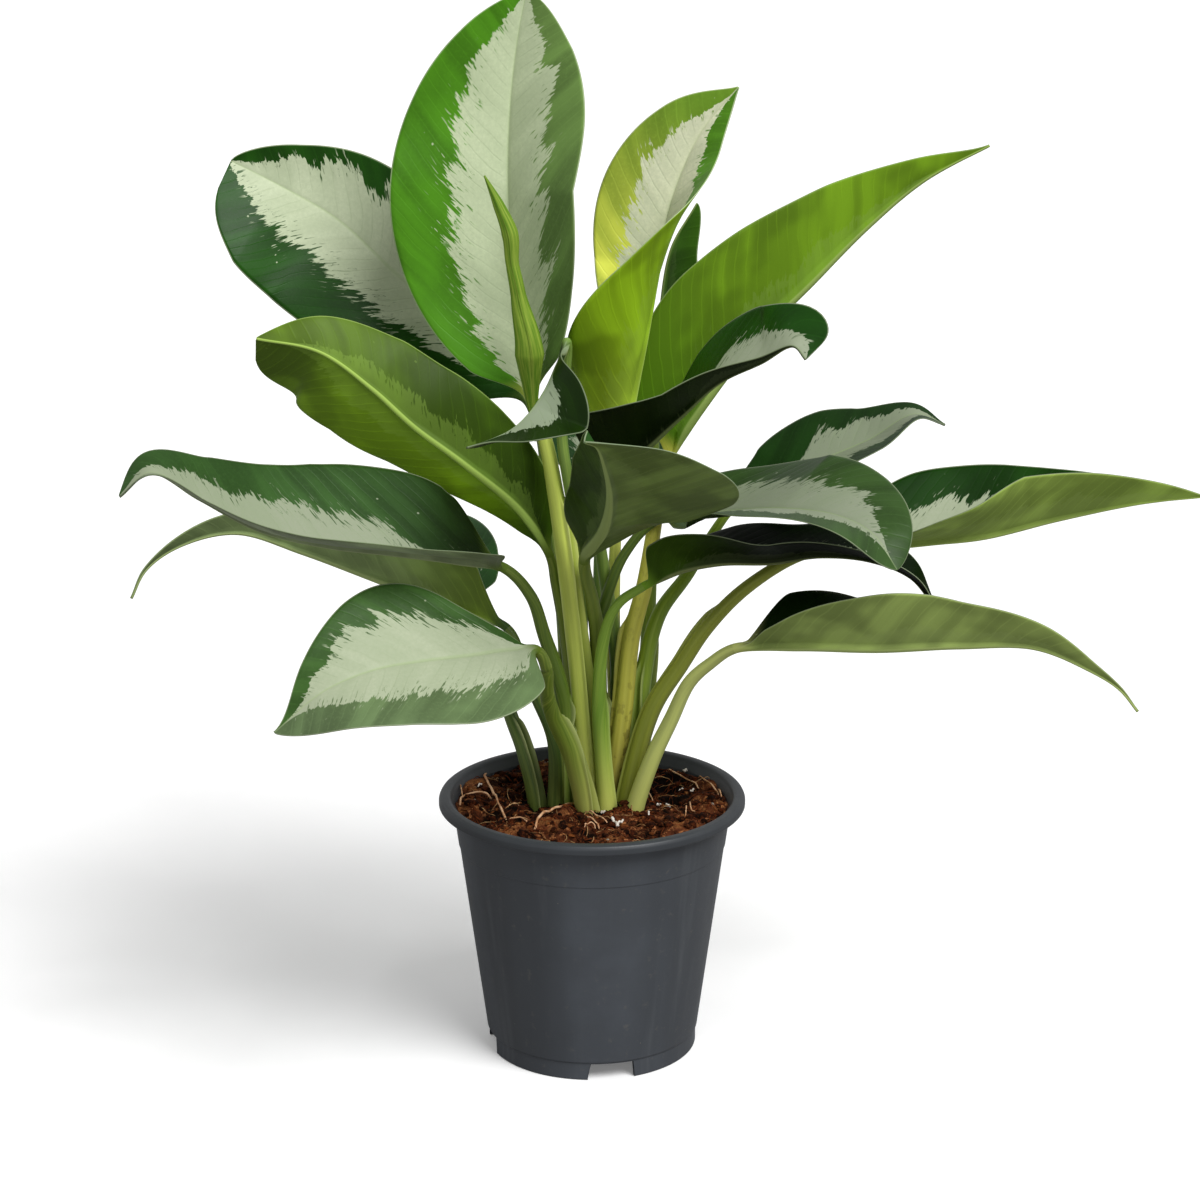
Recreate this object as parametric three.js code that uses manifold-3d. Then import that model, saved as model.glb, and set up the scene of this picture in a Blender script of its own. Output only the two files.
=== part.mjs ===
// A potted Chinese evergreen: broad pointed leaves on long petioles, in a round nursery pot of soil.
// Millimetres, +Z up. The pot's axis is x = y = 0 until the whole part is centred at the end.
import * as THREE from 'three';
import { mergeVertices } from 'three/addons/utils/BufferGeometryUtils.js';
import initManifold from 'manifold-3d';

const { Manifold, Mesh } = await setUpManifold();

// Pot
const POT_HEIGHT = 147.2;
const RIM_RADIUS = 85;
const RIM_DROP = 5.8;
const RIM_LIP_WIDTH = 6.8;
const RIM_WALL = 1.6;
const WALL = 1.5;
const STEP_HEIGHT = 119;
const STEP_OUT = 0.5;
const FOOT_HEIGHT = 10.8;
const FOOT_RADIUS = 59.3;
const FOOT_SET_IN = 0.9;
const WALL_SLOPE = 0.134;
const SKIRT_WALL = 2.2;
const FLOOR_TOP = 12.4;
const POT_SIDES = 48;
const NOTCH_COUNT = 4;
const NOTCH_TURN = 11.3;
const NOTCH_WIDTH = 24;
const NOTCH_SLANT = 3;
const NOTCH_HEIGHT = 9.6;
const DRAIN_COUNT = 6;
const DRAIN_RADIUS = 5;
const DRAIN_RING = 38;
const DRAIN_CUT = 8;
const DRAIN_SIDES = 16;
const MIDDLE_HOLE = 6;
const FLOOR_THICKNESS = 1.7;
const FLOOR_CORNER = 2.5;
const RIM_TOP_THICKNESS = 2.2;
const NOTCH_DEPTH = 14;
const NOTCH_INWARD = 9;

// Soil
const GAP = 0.35;
const SOIL_LEVEL = 137.5;
const SOIL_BASE_GAP = 0.4;
const SOIL_CROWN = 5;
const SOIL_SIDES = 36;
const SOIL_RINGS = 8;
const SOIL_LUMP = 1.7;
const ROOT_DEPTH = 24;
const HOLE_DEPTH = 25;
const ROOT_LEAN = 0.3;
const HOLE_ROWS = 3;

// Leaves
const ACROSS = 6;
const ALONG = 12;
const STEM_STEPS = 6;
const BLADE_THICKNESS = 0.8;
const TIP_HALF_WIDTH = 0.7;
const BASE_BLEND = 0.1;
const STEM_FOOT = 4.6;
const STEM_NECK = 2.4;
const STEM_TAPER = 0.8;
const RIB_RELIEF = 1.5;
const RIB_SHARE = 3;
const STATION_CROWDING = 0.045;
const CURVE_STEPS = 160;
const RIGHT_WAVE_PHASE = 2;
const SPEAR_STEPS = 14;
const SPEAR_FLATNESS = 0.75;

// stem: petiole points from the soil up; rib: midrib points from blade base to tip; face: where the upper
// side looks. Each half of the blade has its own width, the share of the midrib where it is widest, the
// roundness of its base, and at base, middle and tip its fold up from flat and its curl on from there.
const LEAVES = {
  top_centre: {
    stem: [[0, 6, 140], [-5, 6, 199], [-12, 4, 263], [-19, 2, 314], [-25, 6, 346]],
    rib: [
      [-32, 16, 365], [-41, 30, 418], [-45, 42, 476], [-44, 52, 518], [-40, 58, 554],
      [-35, 60, 580],
    ],
    face: [0, -1, 0.25],
    left: { width: 64, widest: 0.49, round: 0.75, fold: [10, 8, 20], curl: [0, 0, 0] },
    right: { width: 60, widest: 0.5, round: 0.65, fold: [50, 54, 20], curl: [0, 0, 0] },
    foot: 5.6,
    neck: 3.6,
    wave: 3,
    waves: 5,
  },
  upper_left: {
    stem: [[-16, 29, 140], [-15, 38, 218], [-24, 46, 303]],
    rib: [
      [-34, 54, 354], [-73, 70, 394], [-110, 84, 424], [-142, 98, 451], [-174, 108, 468],
      [-202, 110, 482],
    ],
    face: [-0.2, -0.75, 0.6],
    left: { width: 60, widest: 0.68, round: 0.75, fold: [5, 5, 5], curl: [0, 0, 0] },
    right: { width: 46, widest: 0.46, round: 0.6, fold: [5, 5, 16], curl: [0, 10, 20] },
  },
  mid_left: {
    stem: [[-8, 18, 140], [-11, 18, 201], [-15, 18, 236], [-20, 18, 263]],
    rib: [
      [-23, 16, 279], [-39, 12, 306], [-70, 4, 335], [-96, 0, 356], [-118, -2, 377],
      [-145, -4, 397], [-178, -4, 404],
    ],
    face: [-0.3, 0.8, 0.5],
    left: { width: 37, widest: 0.48, round: 0.8, fold: [10, 20, 58], curl: [10, 20, 20] },
    right: { width: 42, widest: 0.76, round: 1, fold: [10, 10, 0], curl: [10, 20, 10] },
    foot: 4.2,
    neck: 2.6,
  },
  young_upright: {
    stem: [[16, 34, 140], [12, 36, 219], [13, 35, 283]],
    rib: [
      [16, 32, 327], [21, 31, 360], [28, 31, 396], [35, 33, 434], [43, 36, 472], [58, 37, 507],
      [78, 35, 532],
    ],
    face: [-0.1, -1, 0.1],
    left: { width: 39, widest: 0.64, round: 2, fold: [40, 0, 10], curl: [40, 0, -20] },
    right: { width: 60, widest: 0.4, round: 0.8, fold: [100, 70, 20], curl: [210, 80, 0] },
  },
  slender_back: {
    stem: [[26, 24, 140], [31, 50, 214], [34, 72, 284]],
    rib: [[36, 92, 344], [39, 100, 388], [45, 104, 433], [59, 104, 459]],
    face: [1, 0.2, 0.3],
    left: { width: 24, widest: 0.45, round: 0.6, fold: [30, 30, 30], curl: [20, 20, 20] },
    right: { width: 24, widest: 0.45, round: 0.6, fold: [30, 30, 30], curl: [20, 20, 20] },
  },
  right_up: {
    stem: [[12, 10, 140], [18, 14, 196], [22, 18, 233], [29, 24, 260], [35, 30, 296]],
    rib: [
      [40, 36, 326], [66, 42, 367], [96, 48, 402], [118, 52, 423], [149, 58, 453], [180, 62, 478],
      [216, 64, 497],
    ],
    face: [-0.6, 0.3, 0.65],
    left: { width: 50, widest: 0.35, round: 0.7, fold: [50, 50, 50], curl: [10, 10, 10] },
    right: { width: 54, widest: 0.32, round: 0.65, fold: [60, 60, 60], curl: [10, 10, 10] },
    foot: 4.9,
    neck: 3.6,
  },
  right_middle: {
    stem: [[14, 22, 140], [14, 25, 215], [8, 28, 258], [4, 17, 290], [5, 5, 308]],
    rib: [
      [6, -4, 327], [26, -14, 345], [46, -26, 367], [66, -38, 388], [88, -50, 401],
      [104, -58, 411], [110, -62, 405],
    ],
    face: [0, -0.1, 1],
    left: { width: 42, widest: 0.66, round: 1.1, fold: [0, 25, 40], curl: [10, 10, 10] },
    right: { width: 44, widest: 0.17, round: 0.35, fold: [65, 22, 25], curl: [10, 10, 10] },
  },
  front_right: {
    stem: [[3, 17, 140], [3, 10, 233], [0, 2, 258]],
    rib: [
      [-4, -9, 283], [7, -42, 311], [10, -76, 337], [7, -106, 360], [3, -126, 374],
      [-3, -140, 380],
    ],
    face: [0.5, -0.2, 0.85],
    left: { width: 66, widest: 0.6, round: 1, fold: [48, 44, 36], curl: [0, -10, 0] },
    right: { width: 31, widest: 0.4, round: 0.6, fold: [20, 8, 10], curl: [0, 0, 10] },
    foot: 4.4,
    neck: 3.2,
  },
  front_small: {
    stem: [
      [-4, 30, 140], [-6, 21, 225], [-6, 13, 266], [-6, 4, 291], [-12, -2, 322], [-16, -3, 352],
    ],
    rib: [
      [-13, -8, 403], [-18, -20, 395], [-24, -34, 384], [-32, -46, 374], [-42, -58, 367],
      [-54, -66, 363], [-64, -72, 361],
    ],
    face: [0, -0.9, 0.45],
    left: { width: 32, widest: 0.52, round: 3, fold: [98, 14, 70], curl: [0, 0, 0] },
    right: { width: 16, widest: 0.5, round: 0.6, fold: [-85, -85, -85], curl: [0, 0, 0] },
    foot: 4.2,
  },
  long_left: {
    stem: [[-11, 7, 140], [-14, 6, 182], [-18, 0, 213], [-26, -5, 240], [-33, -12, 264]],
    rib: [
      [-47, -20, 282], [-73, -36, 292], [-106, -50, 300], [-139, -62, 307], [-172, -72, 318],
      [-201, -80, 336], [-225, -86, 351], [-241, -88, 339],
    ],
    face: [0, -0.14, 1],
    left: { width: 48, widest: 0.4, round: 0.5, fold: [20, 18, 12], curl: [10, 10, 10] },
    right: { width: 53, widest: 0.34, round: 0.4, fold: [36, 35, 15], curl: [0, 0, 0] },
    foot: 4.4,
    neck: 2.8,
  },
  under_left: {
    stem: [[-20, -3, 140], [-21, -5, 180], [-31, -8, 207], [-38, -9, 227]],
    rib: [
      [-46, -6, 244], [-67, 2, 251], [-86, 8, 256], [-116, 16, 265], [-159, 24, 279],
      [-196, 28, 289], [-227, 26, 282], [-246, 22, 269], [-254, 18, 254],
    ],
    face: [-0.1, 0.5, 0.85],
    left: { width: 36, widest: 0.25, round: 0.6, fold: [50, 40, 30], curl: [0, 0, 0] },
    right: { width: 30, widest: 0.3, round: 0.6, fold: [20, 20, 30], curl: [0, 0, 0] },
  },
  lower_left: {
    stem: [[-3, -12, 140], [-11, -22, 176], [-21, -36, 204], [-24, -48, 222], [-24, -58, 238]],
    rib: [
      [-29, -66, 250], [-40, -74, 253], [-63, -88, 254], [-89, -102, 255], [-112, -114, 254],
      [-136, -124, 246], [-161, -130, 226],
    ],
    face: [-0.1, -0.55, 0.83],
    left: { width: 54, widest: 0.4, round: 0.55, fold: [5, 5, 5], curl: [5, 5, 5] },
    right: { width: 48, widest: 0.47, round: 1.6, fold: [10, 10, 10], curl: [10, 10, 10] },
    foot: 5.4,
    neck: 2.8,
  },
  right_back: {
    stem: [[24, 12, 140], [28, 22, 204], [37, 32, 240], [53, 44, 260]],
    rib: [
      [80, 58, 297], [102, 60, 310], [127, 62, 321], [155, 64, 333], [180, 66, 347],
      [197, 66, 341],
    ],
    face: [0, -0.1, 1],
    left: { width: 34, widest: 0.42, round: 0.9, fold: [30, 28, 12], curl: [0, 0, 0] },
    right: { width: 40, widest: 0.42, round: 0.6, fold: [10, 10, 10], curl: [0, 0, 0] },
  },
  right_front: {
    stem: [[6, 28, 140], [2, 27, 192], [3, 23, 229], [8, 20, 254], [18, 20, 279]],
    rib: [
      [35, 22, 297], [68, 10, 305], [102, -28, 317], [130, -56, 320], [146, -75, 315],
      [157, -88, 300],
    ],
    face: [0.1, -0.1, 1],
    left: { width: 46, widest: 0.46, round: 0.6, fold: [25, 33, 20], curl: [0, -5, -15] },
    right: { width: 40, widest: 0.5, round: 0.6, fold: [-4, 5, 10], curl: [0, 0, 0] },
    foot: 4.2,
  },
  under_right: {
    stem: [[8, -6, 140], [4, -4, 202], [7, -4, 240], [14, -4, 257]],
    rib: [
      [28, 0, 266], [46, -2, 276], [69, -10, 283], [96, -20, 286], [122, -30, 292],
      [148, -37, 291], [169, -42, 283], [182, -44, 268],
    ],
    face: [0, 0.1, 1],
    left: { width: 40, widest: 0.42, round: 0.6, fold: [25, 20, 20], curl: [0, 0, 0] },
    right: { width: 34, widest: 0.3, round: 0.4, fold: [48, 28, 20], curl: [0, -10, 0] },
    foot: 4.2,
  },
  lower_right: {
    stem: [[23, -14, 140], [33, -15, 172], [43, -17, 195], [53, -21, 218], [64, -25, 230]],
    rib: [
      [77, -30, 240], [111, -44, 246], [152, -58, 249], [193, -70, 254], [231, -80, 256],
      [259, -84, 245], [275, -86, 235], [285, -86, 223],
    ],
    face: [0, 0.2, 1],
    left: { width: 43, widest: 0.22, round: 0.5, fold: [50, 18, 10], curl: [0, 0, 0] },
    right: { width: 39, widest: 0.38, round: 1.3, fold: [30, 50, 40], curl: [10, 10, 10] },
    foot: 5,
    neck: 2.8,
  },
  far_right: {
    stem: [[19, -1, 140], [33, 2, 194], [49, 4, 220], [63, 6, 241], [84, 10, 262], [114, 16, 279]],
    rib: [
      [142, 22, 282], [184, 28, 284], [216, 32, 286], [258, 36, 295], [301, 38, 303],
      [338, 38, 307],
    ],
    face: [0, -0.1, 1],
    left: { width: 45, widest: 0.33, round: 0.6, fold: [45, 40, 25], curl: [0, 0, 0] },
    right: { width: 44, widest: 0.42, round: 0.7, fold: [20, 55, 50], curl: [0, 10, 10] },
    foot: 5,
    neck: 2.6,
  },
  back_left: {
    stem: [[-31, 1, 140], [-38, 6, 170], [-45, 14, 187], [-53, 30, 209]],
    rib: [[-68, 66, 237], [-82, 96, 251], [-95, 126, 261], [-117, 152, 263], [-136, 170, 262]],
    face: [0, 0, 1],
    left: { width: 32, widest: 0.42, round: 0.62, fold: [10, 10, 10], curl: [0, 0, 0] },
    right: { width: 32, widest: 0.42, round: 0.62, fold: [10, 10, 10], curl: [0, 0, 0] },
  },
  back_centre: {
    stem: [[4, 40, 140], [4, 58, 218], [4, 76, 266]],
    rib: [[6, 90, 292], [8, 122, 308], [11, 154, 321], [16, 188, 330], [23, 216, 334]],
    face: [0, -0.6, 0.8],
    left: { width: 38, widest: 0.42, round: 0.62, fold: [15, 15, 15], curl: [0, 0, 0] },
    right: { width: 38, widest: 0.42, round: 0.62, fold: [15, 15, 15], curl: [0, 0, 0] },
  },
};

async function setUpManifold() {
  const module = await initManifold();
  module.setup();
  return module;
}

const radians = THREE.MathUtils.degToRad;

function mixed(three, u) {
  if (u < 0.5) return THREE.MathUtils.lerp(three[0], three[1], u * 2);
  return THREE.MathUtils.lerp(three[1], three[2], u * 2 - 1);
}

function evenly(curve, from, to, stations) {
  const points = [];
  const lengths = [0];
  for (let i = 0; i <= CURVE_STEPS; i += 1) {
    points.push(curve.getPoint(from + ((to - from) * i) / CURVE_STEPS));
    if (i > 0) lengths.push(lengths[i - 1] + points[i].distanceTo(points[i - 1]));
  }
  const total = lengths[CURVE_STEPS];
  return stations.map((u) => {
    let i = 1;
    while (i < CURVE_STEPS && lengths[i] < u * total) i += 1;
    const share = (u * total - lengths[i - 1]) / (lengths[i] - lengths[i - 1]);
    return points[i - 1].clone().lerp(points[i], share);
  });
}

// Half a blade's width at share u: largest at half.widest, and rounder at its base for a smaller half.round.
function halfWidth(half, u) {
  const taper = (half.round * (1 - half.widest)) / half.widest;
  const shape = (u / half.widest) ** half.round * ((1 - u) / (1 - half.widest)) ** taper;
  return TIP_HALF_WIDTH + (half.width - TIP_HALF_WIDTH) * shape;
}

// The waving of a blade's margins, in millimetres up from its middle surface.
function waveAt(leaf, u, v) {
  if (!leaf.wave) return 0;
  const phase = v < 0 ? 0 : RIGHT_WAVE_PHASE;
  return leaf.wave * v * v * Math.sin(u * Math.PI * leaf.waves + phase) * Math.sin(Math.PI * u);
}

// The middle surface of a blade at share u along the midrib and v across, -1 left margin, 1 right margin.
function bladePoint(leaf, frame, u, v) {
  const half = v < 0 ? leaf.left : leaf.right;
  const fold = radians(mixed(half.fold, u));
  const curl = radians(mixed(half.curl, u));
  const reach = Math.abs(v) * halfWidth(half, u);
  const turn = curl * Math.abs(v);
  const chord = Math.abs(turn) < 1e-4 ? reach : (reach * Math.sin(turn / 2)) / (turn / 2);
  const angle = fold + turn / 2;
  const side = Math.sign(v) * chord * Math.cos(angle);
  const lift = chord * Math.sin(angle) + waveAt(leaf, u, v);
  return frame.at.clone().addScaledVector(frame.side, side).addScaledVector(frame.up, lift);
}

function frameAt(points, i, face) {
  const ahead = points[Math.min(i + 1, points.length - 1)];
  const behind = points[Math.max(i - 1, 0)];
  const tangent = ahead.clone().sub(behind).normalize();
  const side = tangent.clone().cross(face).normalize();
  const up = side.clone().cross(tangent).normalize();
  return { at: points[i], tangent, side, up };
}

// A point of an oval ring about a frame, at an angle from its side direction.
function ringPoint(frame, wide, high, angle) {
  const point = frame.at.clone();
  point.addScaledVector(frame.side, wide * Math.cos(angle));
  point.addScaledVector(frame.up, high * Math.sin(angle));
  return point;
}

// Rows of ring points: the upper face's from left to right, and the lower face's under them.
function leafRows(leaf, extra = 0, rootDepth = ROOT_DEPTH) {
  const soil = new THREE.Vector3(...leaf.stem[0]);
  const next = new THREE.Vector3(...leaf.stem[1]);
  const lean = next.clone().sub(soil).normalize();
  lean.x *= ROOT_LEAN;
  lean.y *= ROOT_LEAN;
  lean.normalize();
  const root = soil.clone().addScaledVector(lean, -rootDepth / lean.z);
  const knots = [root, ...[...leaf.stem, ...leaf.rib].map((p) => new THREE.Vector3(...p))];
  const curve = new THREE.CatmullRomCurve3(knots, false, 'centripetal');
  const baseAt = (leaf.stem.length + 1) / (knots.length - 1);
  const stemShares = [];
  for (let i = 0; i < STEM_STEPS; i += 1) stemShares.push(i / STEM_STEPS);
  const ribShares = [];
  for (let i = 0; i <= ALONG; i += 1) ribShares.push(bladeShare(i / ALONG));
  const stem = evenly(curve, 0, baseAt, stemShares);
  const rib = evenly(curve, baseAt, 1, ribShares);
  const points = [...stem, ...rib];
  const face = new THREE.Vector3(...leaf.face).normalize();
  const foot = leaf.foot ?? STEM_FOOT;
  const neck = leaf.neck ?? STEM_NECK;
  const frames = points.map((_, i) => frameAt(points, i, face));
  return frames.map((frame, i) => {
    const onBlade = i >= stem.length;
    const u = onBlade ? ribShares[i - stem.length] : 0;
    const climb = onBlade ? 1 : stemShares[i];
    const radius = neck + (foot - neck) * (1 - climb) ** STEM_TAPER + extra;
    const blend = onBlade ? THREE.MathUtils.smoothstep(u, 0, BASE_BLEND) : 0;
    const upper = [];
    const lower = [];
    for (let j = 0; j <= ACROSS; j += 1) {
      const around = Math.PI * (1 - (j + 0.5) / (ACROSS + 1));
      const stemTop = ringPoint(frame, radius, radius, around);
      const stemUnder = ringPoint(frame, radius, radius, -around);
      if (blend === 0) {
        upper.push(stemTop);
        lower.push(stemUnder);
        continue;
      }
      const v = (2 * j) / ACROSS - 1;
      const middle = bladePoint(leaf, frame, u, v);
      const normal = bladeNormal(leaf, frame, u, v);
      const nearRib = 1 - Math.min(Math.abs(v) * RIB_SHARE, 1);
      const ribDrop = nearRib * radius * RIB_RELIEF * (1 - u) ** STEM_TAPER;
      const top = middle.clone().addScaledVector(normal, BLADE_THICKNESS / 2);
      const under = middle.clone().addScaledVector(normal, -BLADE_THICKNESS / 2 - ribDrop);
      upper.push(stemTop.lerp(top, blend));
      lower.push(stemUnder.lerp(under, blend));
    }
    return { upper, lower };
  });
}

// Stations lie closer together near the blade's base and tip.
function bladeShare(t) {
  return t - STATION_CROWDING * Math.sin(2 * Math.PI * t);
}

function bladeNormal(leaf, frame, u, v) {
  const reach = 0.08;
  const low = bladePoint(leaf, frame, u, Math.max(v - reach, -1));
  const high = bladePoint(leaf, frame, u, Math.min(v + reach, 1));
  return high.sub(low).cross(frame.tangent).normalize();
}

function solidOf(rows) {
  const width = rows[0].upper.length;
  const positions = [];
  for (const row of rows) {
    for (const p of row.upper) positions.push(p.x, p.y, p.z);
    for (const p of row.lower) positions.push(p.x, p.y, p.z);
  }
  const index = [];
  const upper = (i, j) => i * 2 * width + j;
  const lower = (i, j) => i * 2 * width + width + j;
  const quad = (a, b, c, d, mirrored) => {
    if (mirrored) index.push(a, b, d, b, c, d);
    else index.push(a, b, c, a, c, d);
  };
  for (let i = 0; i + 1 < rows.length; i += 1) {
    for (let j = 0; j + 1 < width; j += 1) {
      const mirrored = j < (width - 1) / 2;
      quad(upper(i, j), upper(i, j + 1), upper(i + 1, j + 1), upper(i + 1, j), mirrored);
      quad(lower(i, j + 1), lower(i, j), lower(i + 1, j), lower(i + 1, j + 1), !mirrored);
    }
    quad(upper(i + 1, 0), lower(i + 1, 0), lower(i, 0), upper(i, 0), false);
    quad(upper(i, width - 1), lower(i, width - 1), lower(i + 1, width - 1), upper(i + 1, width - 1), false);
  }
  const last = rows.length - 1;
  for (let j = 0; j + 1 < width; j += 1) {
    quad(upper(0, j), lower(0, j), lower(0, j + 1), upper(0, j + 1), false);
    quad(upper(last, j), upper(last, j + 1), lower(last, j + 1), lower(last, j), false);
  }
  return { positions, index };
}

function manifoldOf({ positions, index }) {
  const mesh = new Mesh({
    numProp: 3,
    vertProperties: new Float32Array(positions),
    triVerts: new Uint32Array(index),
  });
  mesh.merge();
  return new Manifold(mesh);
}

function manifoldFrom(geometry) {
  geometry.deleteAttribute('normal');
  geometry.deleteAttribute('uv');
  const welded = mergeVertices(geometry);
  return manifoldOf({ positions: welded.getAttribute('position').array, index: welded.index.array });
}

function geometryOf(manifold) {
  const mesh = manifold.getMesh();
  const geometry = new THREE.BufferGeometry();
  geometry.setAttribute('position', new THREE.Float32BufferAttribute(mesh.vertProperties, 3));
  geometry.setIndex([...mesh.triVerts]);
  return geometry;
}

// A closed profile of [radius, height] pairs turned about the pot's axis.
function turned(profile, sides) {
  const outline = [...profile, profile[0]].map(([r, z]) => new THREE.Vector2(r, z));
  const geometry = new THREE.LatheGeometry(outline, sides);
  geometry.rotateX(Math.PI / 2);
  return manifoldFrom(geometry);
}

// The pot's outer wall radius at a height, below the step.
function wallRadius(z) {
  return FOOT_RADIUS + (z - FOOT_HEIGHT) * WALL_SLOPE;
}

function innerRadius(z) {
  return wallRadius(z) - WALL;
}

function potProfile() {
  const top = POT_HEIGHT;
  const under = top - RIM_DROP;
  const ledge = top - RIM_TOP_THICKNESS;
  const rimInner = RIM_RADIUS - RIM_LIP_WIDTH;
  const rimHollow = RIM_RADIUS - RIM_WALL;
  const neck = wallRadius(under) + STEP_OUT;
  const skirt = FOOT_RADIUS - FOOT_SET_IN;
  const skirtInner = skirt - SKIRT_WALL;
  const floorUnder = FLOOR_TOP - FLOOR_THICKNESS;
  const innerFoot = FLOOR_TOP + 3;
  const innerTop = top - 6;
  return [
    [skirtInner, 0],
    [skirt - 0.6, 0],
    [skirt, 0.6],
    [skirt, FOOT_HEIGHT - 0.7],
    [FOOT_RADIUS, FOOT_HEIGHT],
    [wallRadius(STEP_HEIGHT), STEP_HEIGHT],
    [wallRadius(STEP_HEIGHT) + STEP_OUT, STEP_HEIGHT + 0.5],
    [neck, under],
    [neck + 0.8, ledge],
    [rimHollow - 0.6, ledge],
    [rimHollow, under],
    [RIM_RADIUS - 0.5, under],
    [RIM_RADIUS, under + 0.6],
    [RIM_RADIUS, top - 2.4],
    [RIM_RADIUS - 0.8, top - 0.7],
    [RIM_RADIUS - 2.6, top],
    [rimInner + 1.8, top],
    [rimInner + 0.4, top - 0.6],
    [rimInner - 0.4, top - 2.2],
    [innerRadius(innerTop), innerTop],
    [innerRadius(innerFoot), innerFoot],
    [innerRadius(FLOOR_TOP) - FLOOR_CORNER, FLOOR_TOP],
    [MIDDLE_HOLE, FLOOR_TOP],
    [MIDDLE_HOLE, floorUnder],
    [skirtInner, floorUnder],
  ];
}

function prism(outline, depth) {
  const shape = new THREE.Shape(outline.map(([x, y]) => new THREE.Vector2(x, y)));
  return new THREE.ExtrudeGeometry(shape, { depth, bevelEnabled: false, steps: 1 });
}

function makePot() {
  let pot = turned(potProfile(), POT_SIDES);
  for (let i = 0; i < NOTCH_COUNT; i += 1) {
    const half = NOTCH_WIDTH / 2;
    const notch = prism(
      [
        [-half - NOTCH_SLANT, -1],
        [half + 1, -1],
        [half, NOTCH_HEIGHT],
        [-half, NOTCH_HEIGHT],
      ],
      NOTCH_DEPTH,
    );
    notch.rotateX(Math.PI / 2);
    notch.translate(0, NOTCH_INWARD - FOOT_RADIUS, 0);
    notch.rotateZ(radians(NOTCH_TURN + (360 / NOTCH_COUNT) * i));
    pot = pot.subtract(manifoldFrom(notch));
  }
  for (let i = 0; i < DRAIN_COUNT; i += 1) {
    const angle = radians((360 / DRAIN_COUNT) * i);
    const drain = new THREE.CylinderGeometry(DRAIN_RADIUS, DRAIN_RADIUS, DRAIN_CUT, DRAIN_SIDES);
    drain.rotateX(Math.PI / 2);
    drain.translate(DRAIN_RING * Math.cos(angle), DRAIN_RING * Math.sin(angle), FLOOR_TOP - 1);
    pot = pot.subtract(manifoldFrom(drain));
  }
  return geometryOf(pot);
}

// Lumpy fibrous soil, a little higher at the crown, and level where it meets the wall.
function soilHeight(x, y) {
  const r = Math.hypot(x, y) / innerRadius(SOIL_LEVEL);
  const lumps =
    Math.sin(x * 0.21 + 1.3) * Math.cos(y * 0.17) +
    0.7 * Math.sin(x * 0.37 - y * 0.29 + 2.1) +
    0.5 * Math.cos(x * 0.11 + y * 0.53);
  return SOIL_LEVEL + SOIL_CROWN * (1 - r * r) + SOIL_LUMP * lumps * 0.5 * (1 - r ** 4);
}

function makeSoil() {
  const rim = innerRadius(SOIL_LEVEL) - GAP;
  const floor = FLOOR_TOP + SOIL_BASE_GAP;
  const shoulder = floor + 3;
  const positions = [0, 0, soilHeight(0, 0)];
  const index = [];
  const rings = [];
  for (let k = 1; k <= SOIL_RINGS; k += 1) rings.push({ r: (rim * k) / SOIL_RINGS, z: null });
  rings.push({ r: innerRadius(shoulder) - GAP, z: shoulder });
  rings.push({ r: innerRadius(FLOOR_TOP) - FLOOR_CORNER - SOIL_BASE_GAP - GAP, z: floor });
  for (const ring of rings) {
    for (let i = 0; i < SOIL_SIDES; i += 1) {
      const angle = (2 * Math.PI * i) / SOIL_SIDES;
      const x = ring.r * Math.cos(angle);
      const y = ring.r * Math.sin(angle);
      positions.push(x, y, ring.z ?? soilHeight(x, y));
    }
  }
  positions.push(0, 0, floor);
  const at = (k, i) => 1 + k * SOIL_SIDES + (i % SOIL_SIDES);
  const last = rings.length - 1;
  const under = positions.length / 3 - 1;
  for (let i = 0; i < SOIL_SIDES; i += 1) {
    index.push(0, at(0, i), at(0, i + 1));
    for (let k = 0; k < last; k += 1) {
      index.push(at(k, i), at(k + 1, i), at(k + 1, i + 1), at(k, i), at(k + 1, i + 1), at(k, i + 1));
    }
    index.push(under, at(last, i + 1), at(last, i));
  }
  let soil = manifoldOf({ positions, index });
  for (const leaf of Object.values(LEAVES)) {
    const rows = leafRows(leaf, GAP, HOLE_DEPTH).slice(0, HOLE_ROWS);
    soil = soil.subtract(manifoldOf(solidOf(rows)));
  }
  return geometryOf(soil);
}

// The furled leaf that rises out of the top leaf's sheath.
const SPEAR = {
  knots: [
    [-16, 4, 292],
    [-21, 1, 318],
    [-30, -3, 352],
    [-35, -4, 395],
    [-41, -4, 431],
    [-50, -4, 463],
    [-60, -4, 486],
  ],
  radii: [1.6, 3.6, 7, 9, 7.5, 5, 2.6, 0.6],
  face: [0, -1, 0.2],
};

function makeSpear() {
  const knots = SPEAR.knots.map((p) => new THREE.Vector3(...p));
  const curve = new THREE.CatmullRomCurve3(knots, false, 'centripetal');
  const shares = [];
  for (let i = 0; i <= SPEAR_STEPS; i += 1) shares.push(i / SPEAR_STEPS);
  const points = evenly(curve, 0, 1, shares);
  const face = new THREE.Vector3(...SPEAR.face);
  const rows = points.map((_, i) => {
    const frame = frameAt(points, i, face);
    const place = (i / SPEAR_STEPS) * (SPEAR.radii.length - 1);
    const low = Math.min(Math.floor(place), SPEAR.radii.length - 2);
    const radius = THREE.MathUtils.lerp(SPEAR.radii[low], SPEAR.radii[low + 1], place - low);
    const upper = [];
    const lower = [];
    for (let j = 0; j <= ACROSS; j += 1) {
      const around = Math.PI * (1 - (j + 0.5) / (ACROSS + 1));
      upper.push(ringPoint(frame, radius, radius * SPEAR_FLATNESS, around));
      lower.push(ringPoint(frame, radius, radius * SPEAR_FLATNESS, -around));
    }
    return { upper, lower };
  });
  return manifoldOf(solidOf(rows));
}

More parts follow.
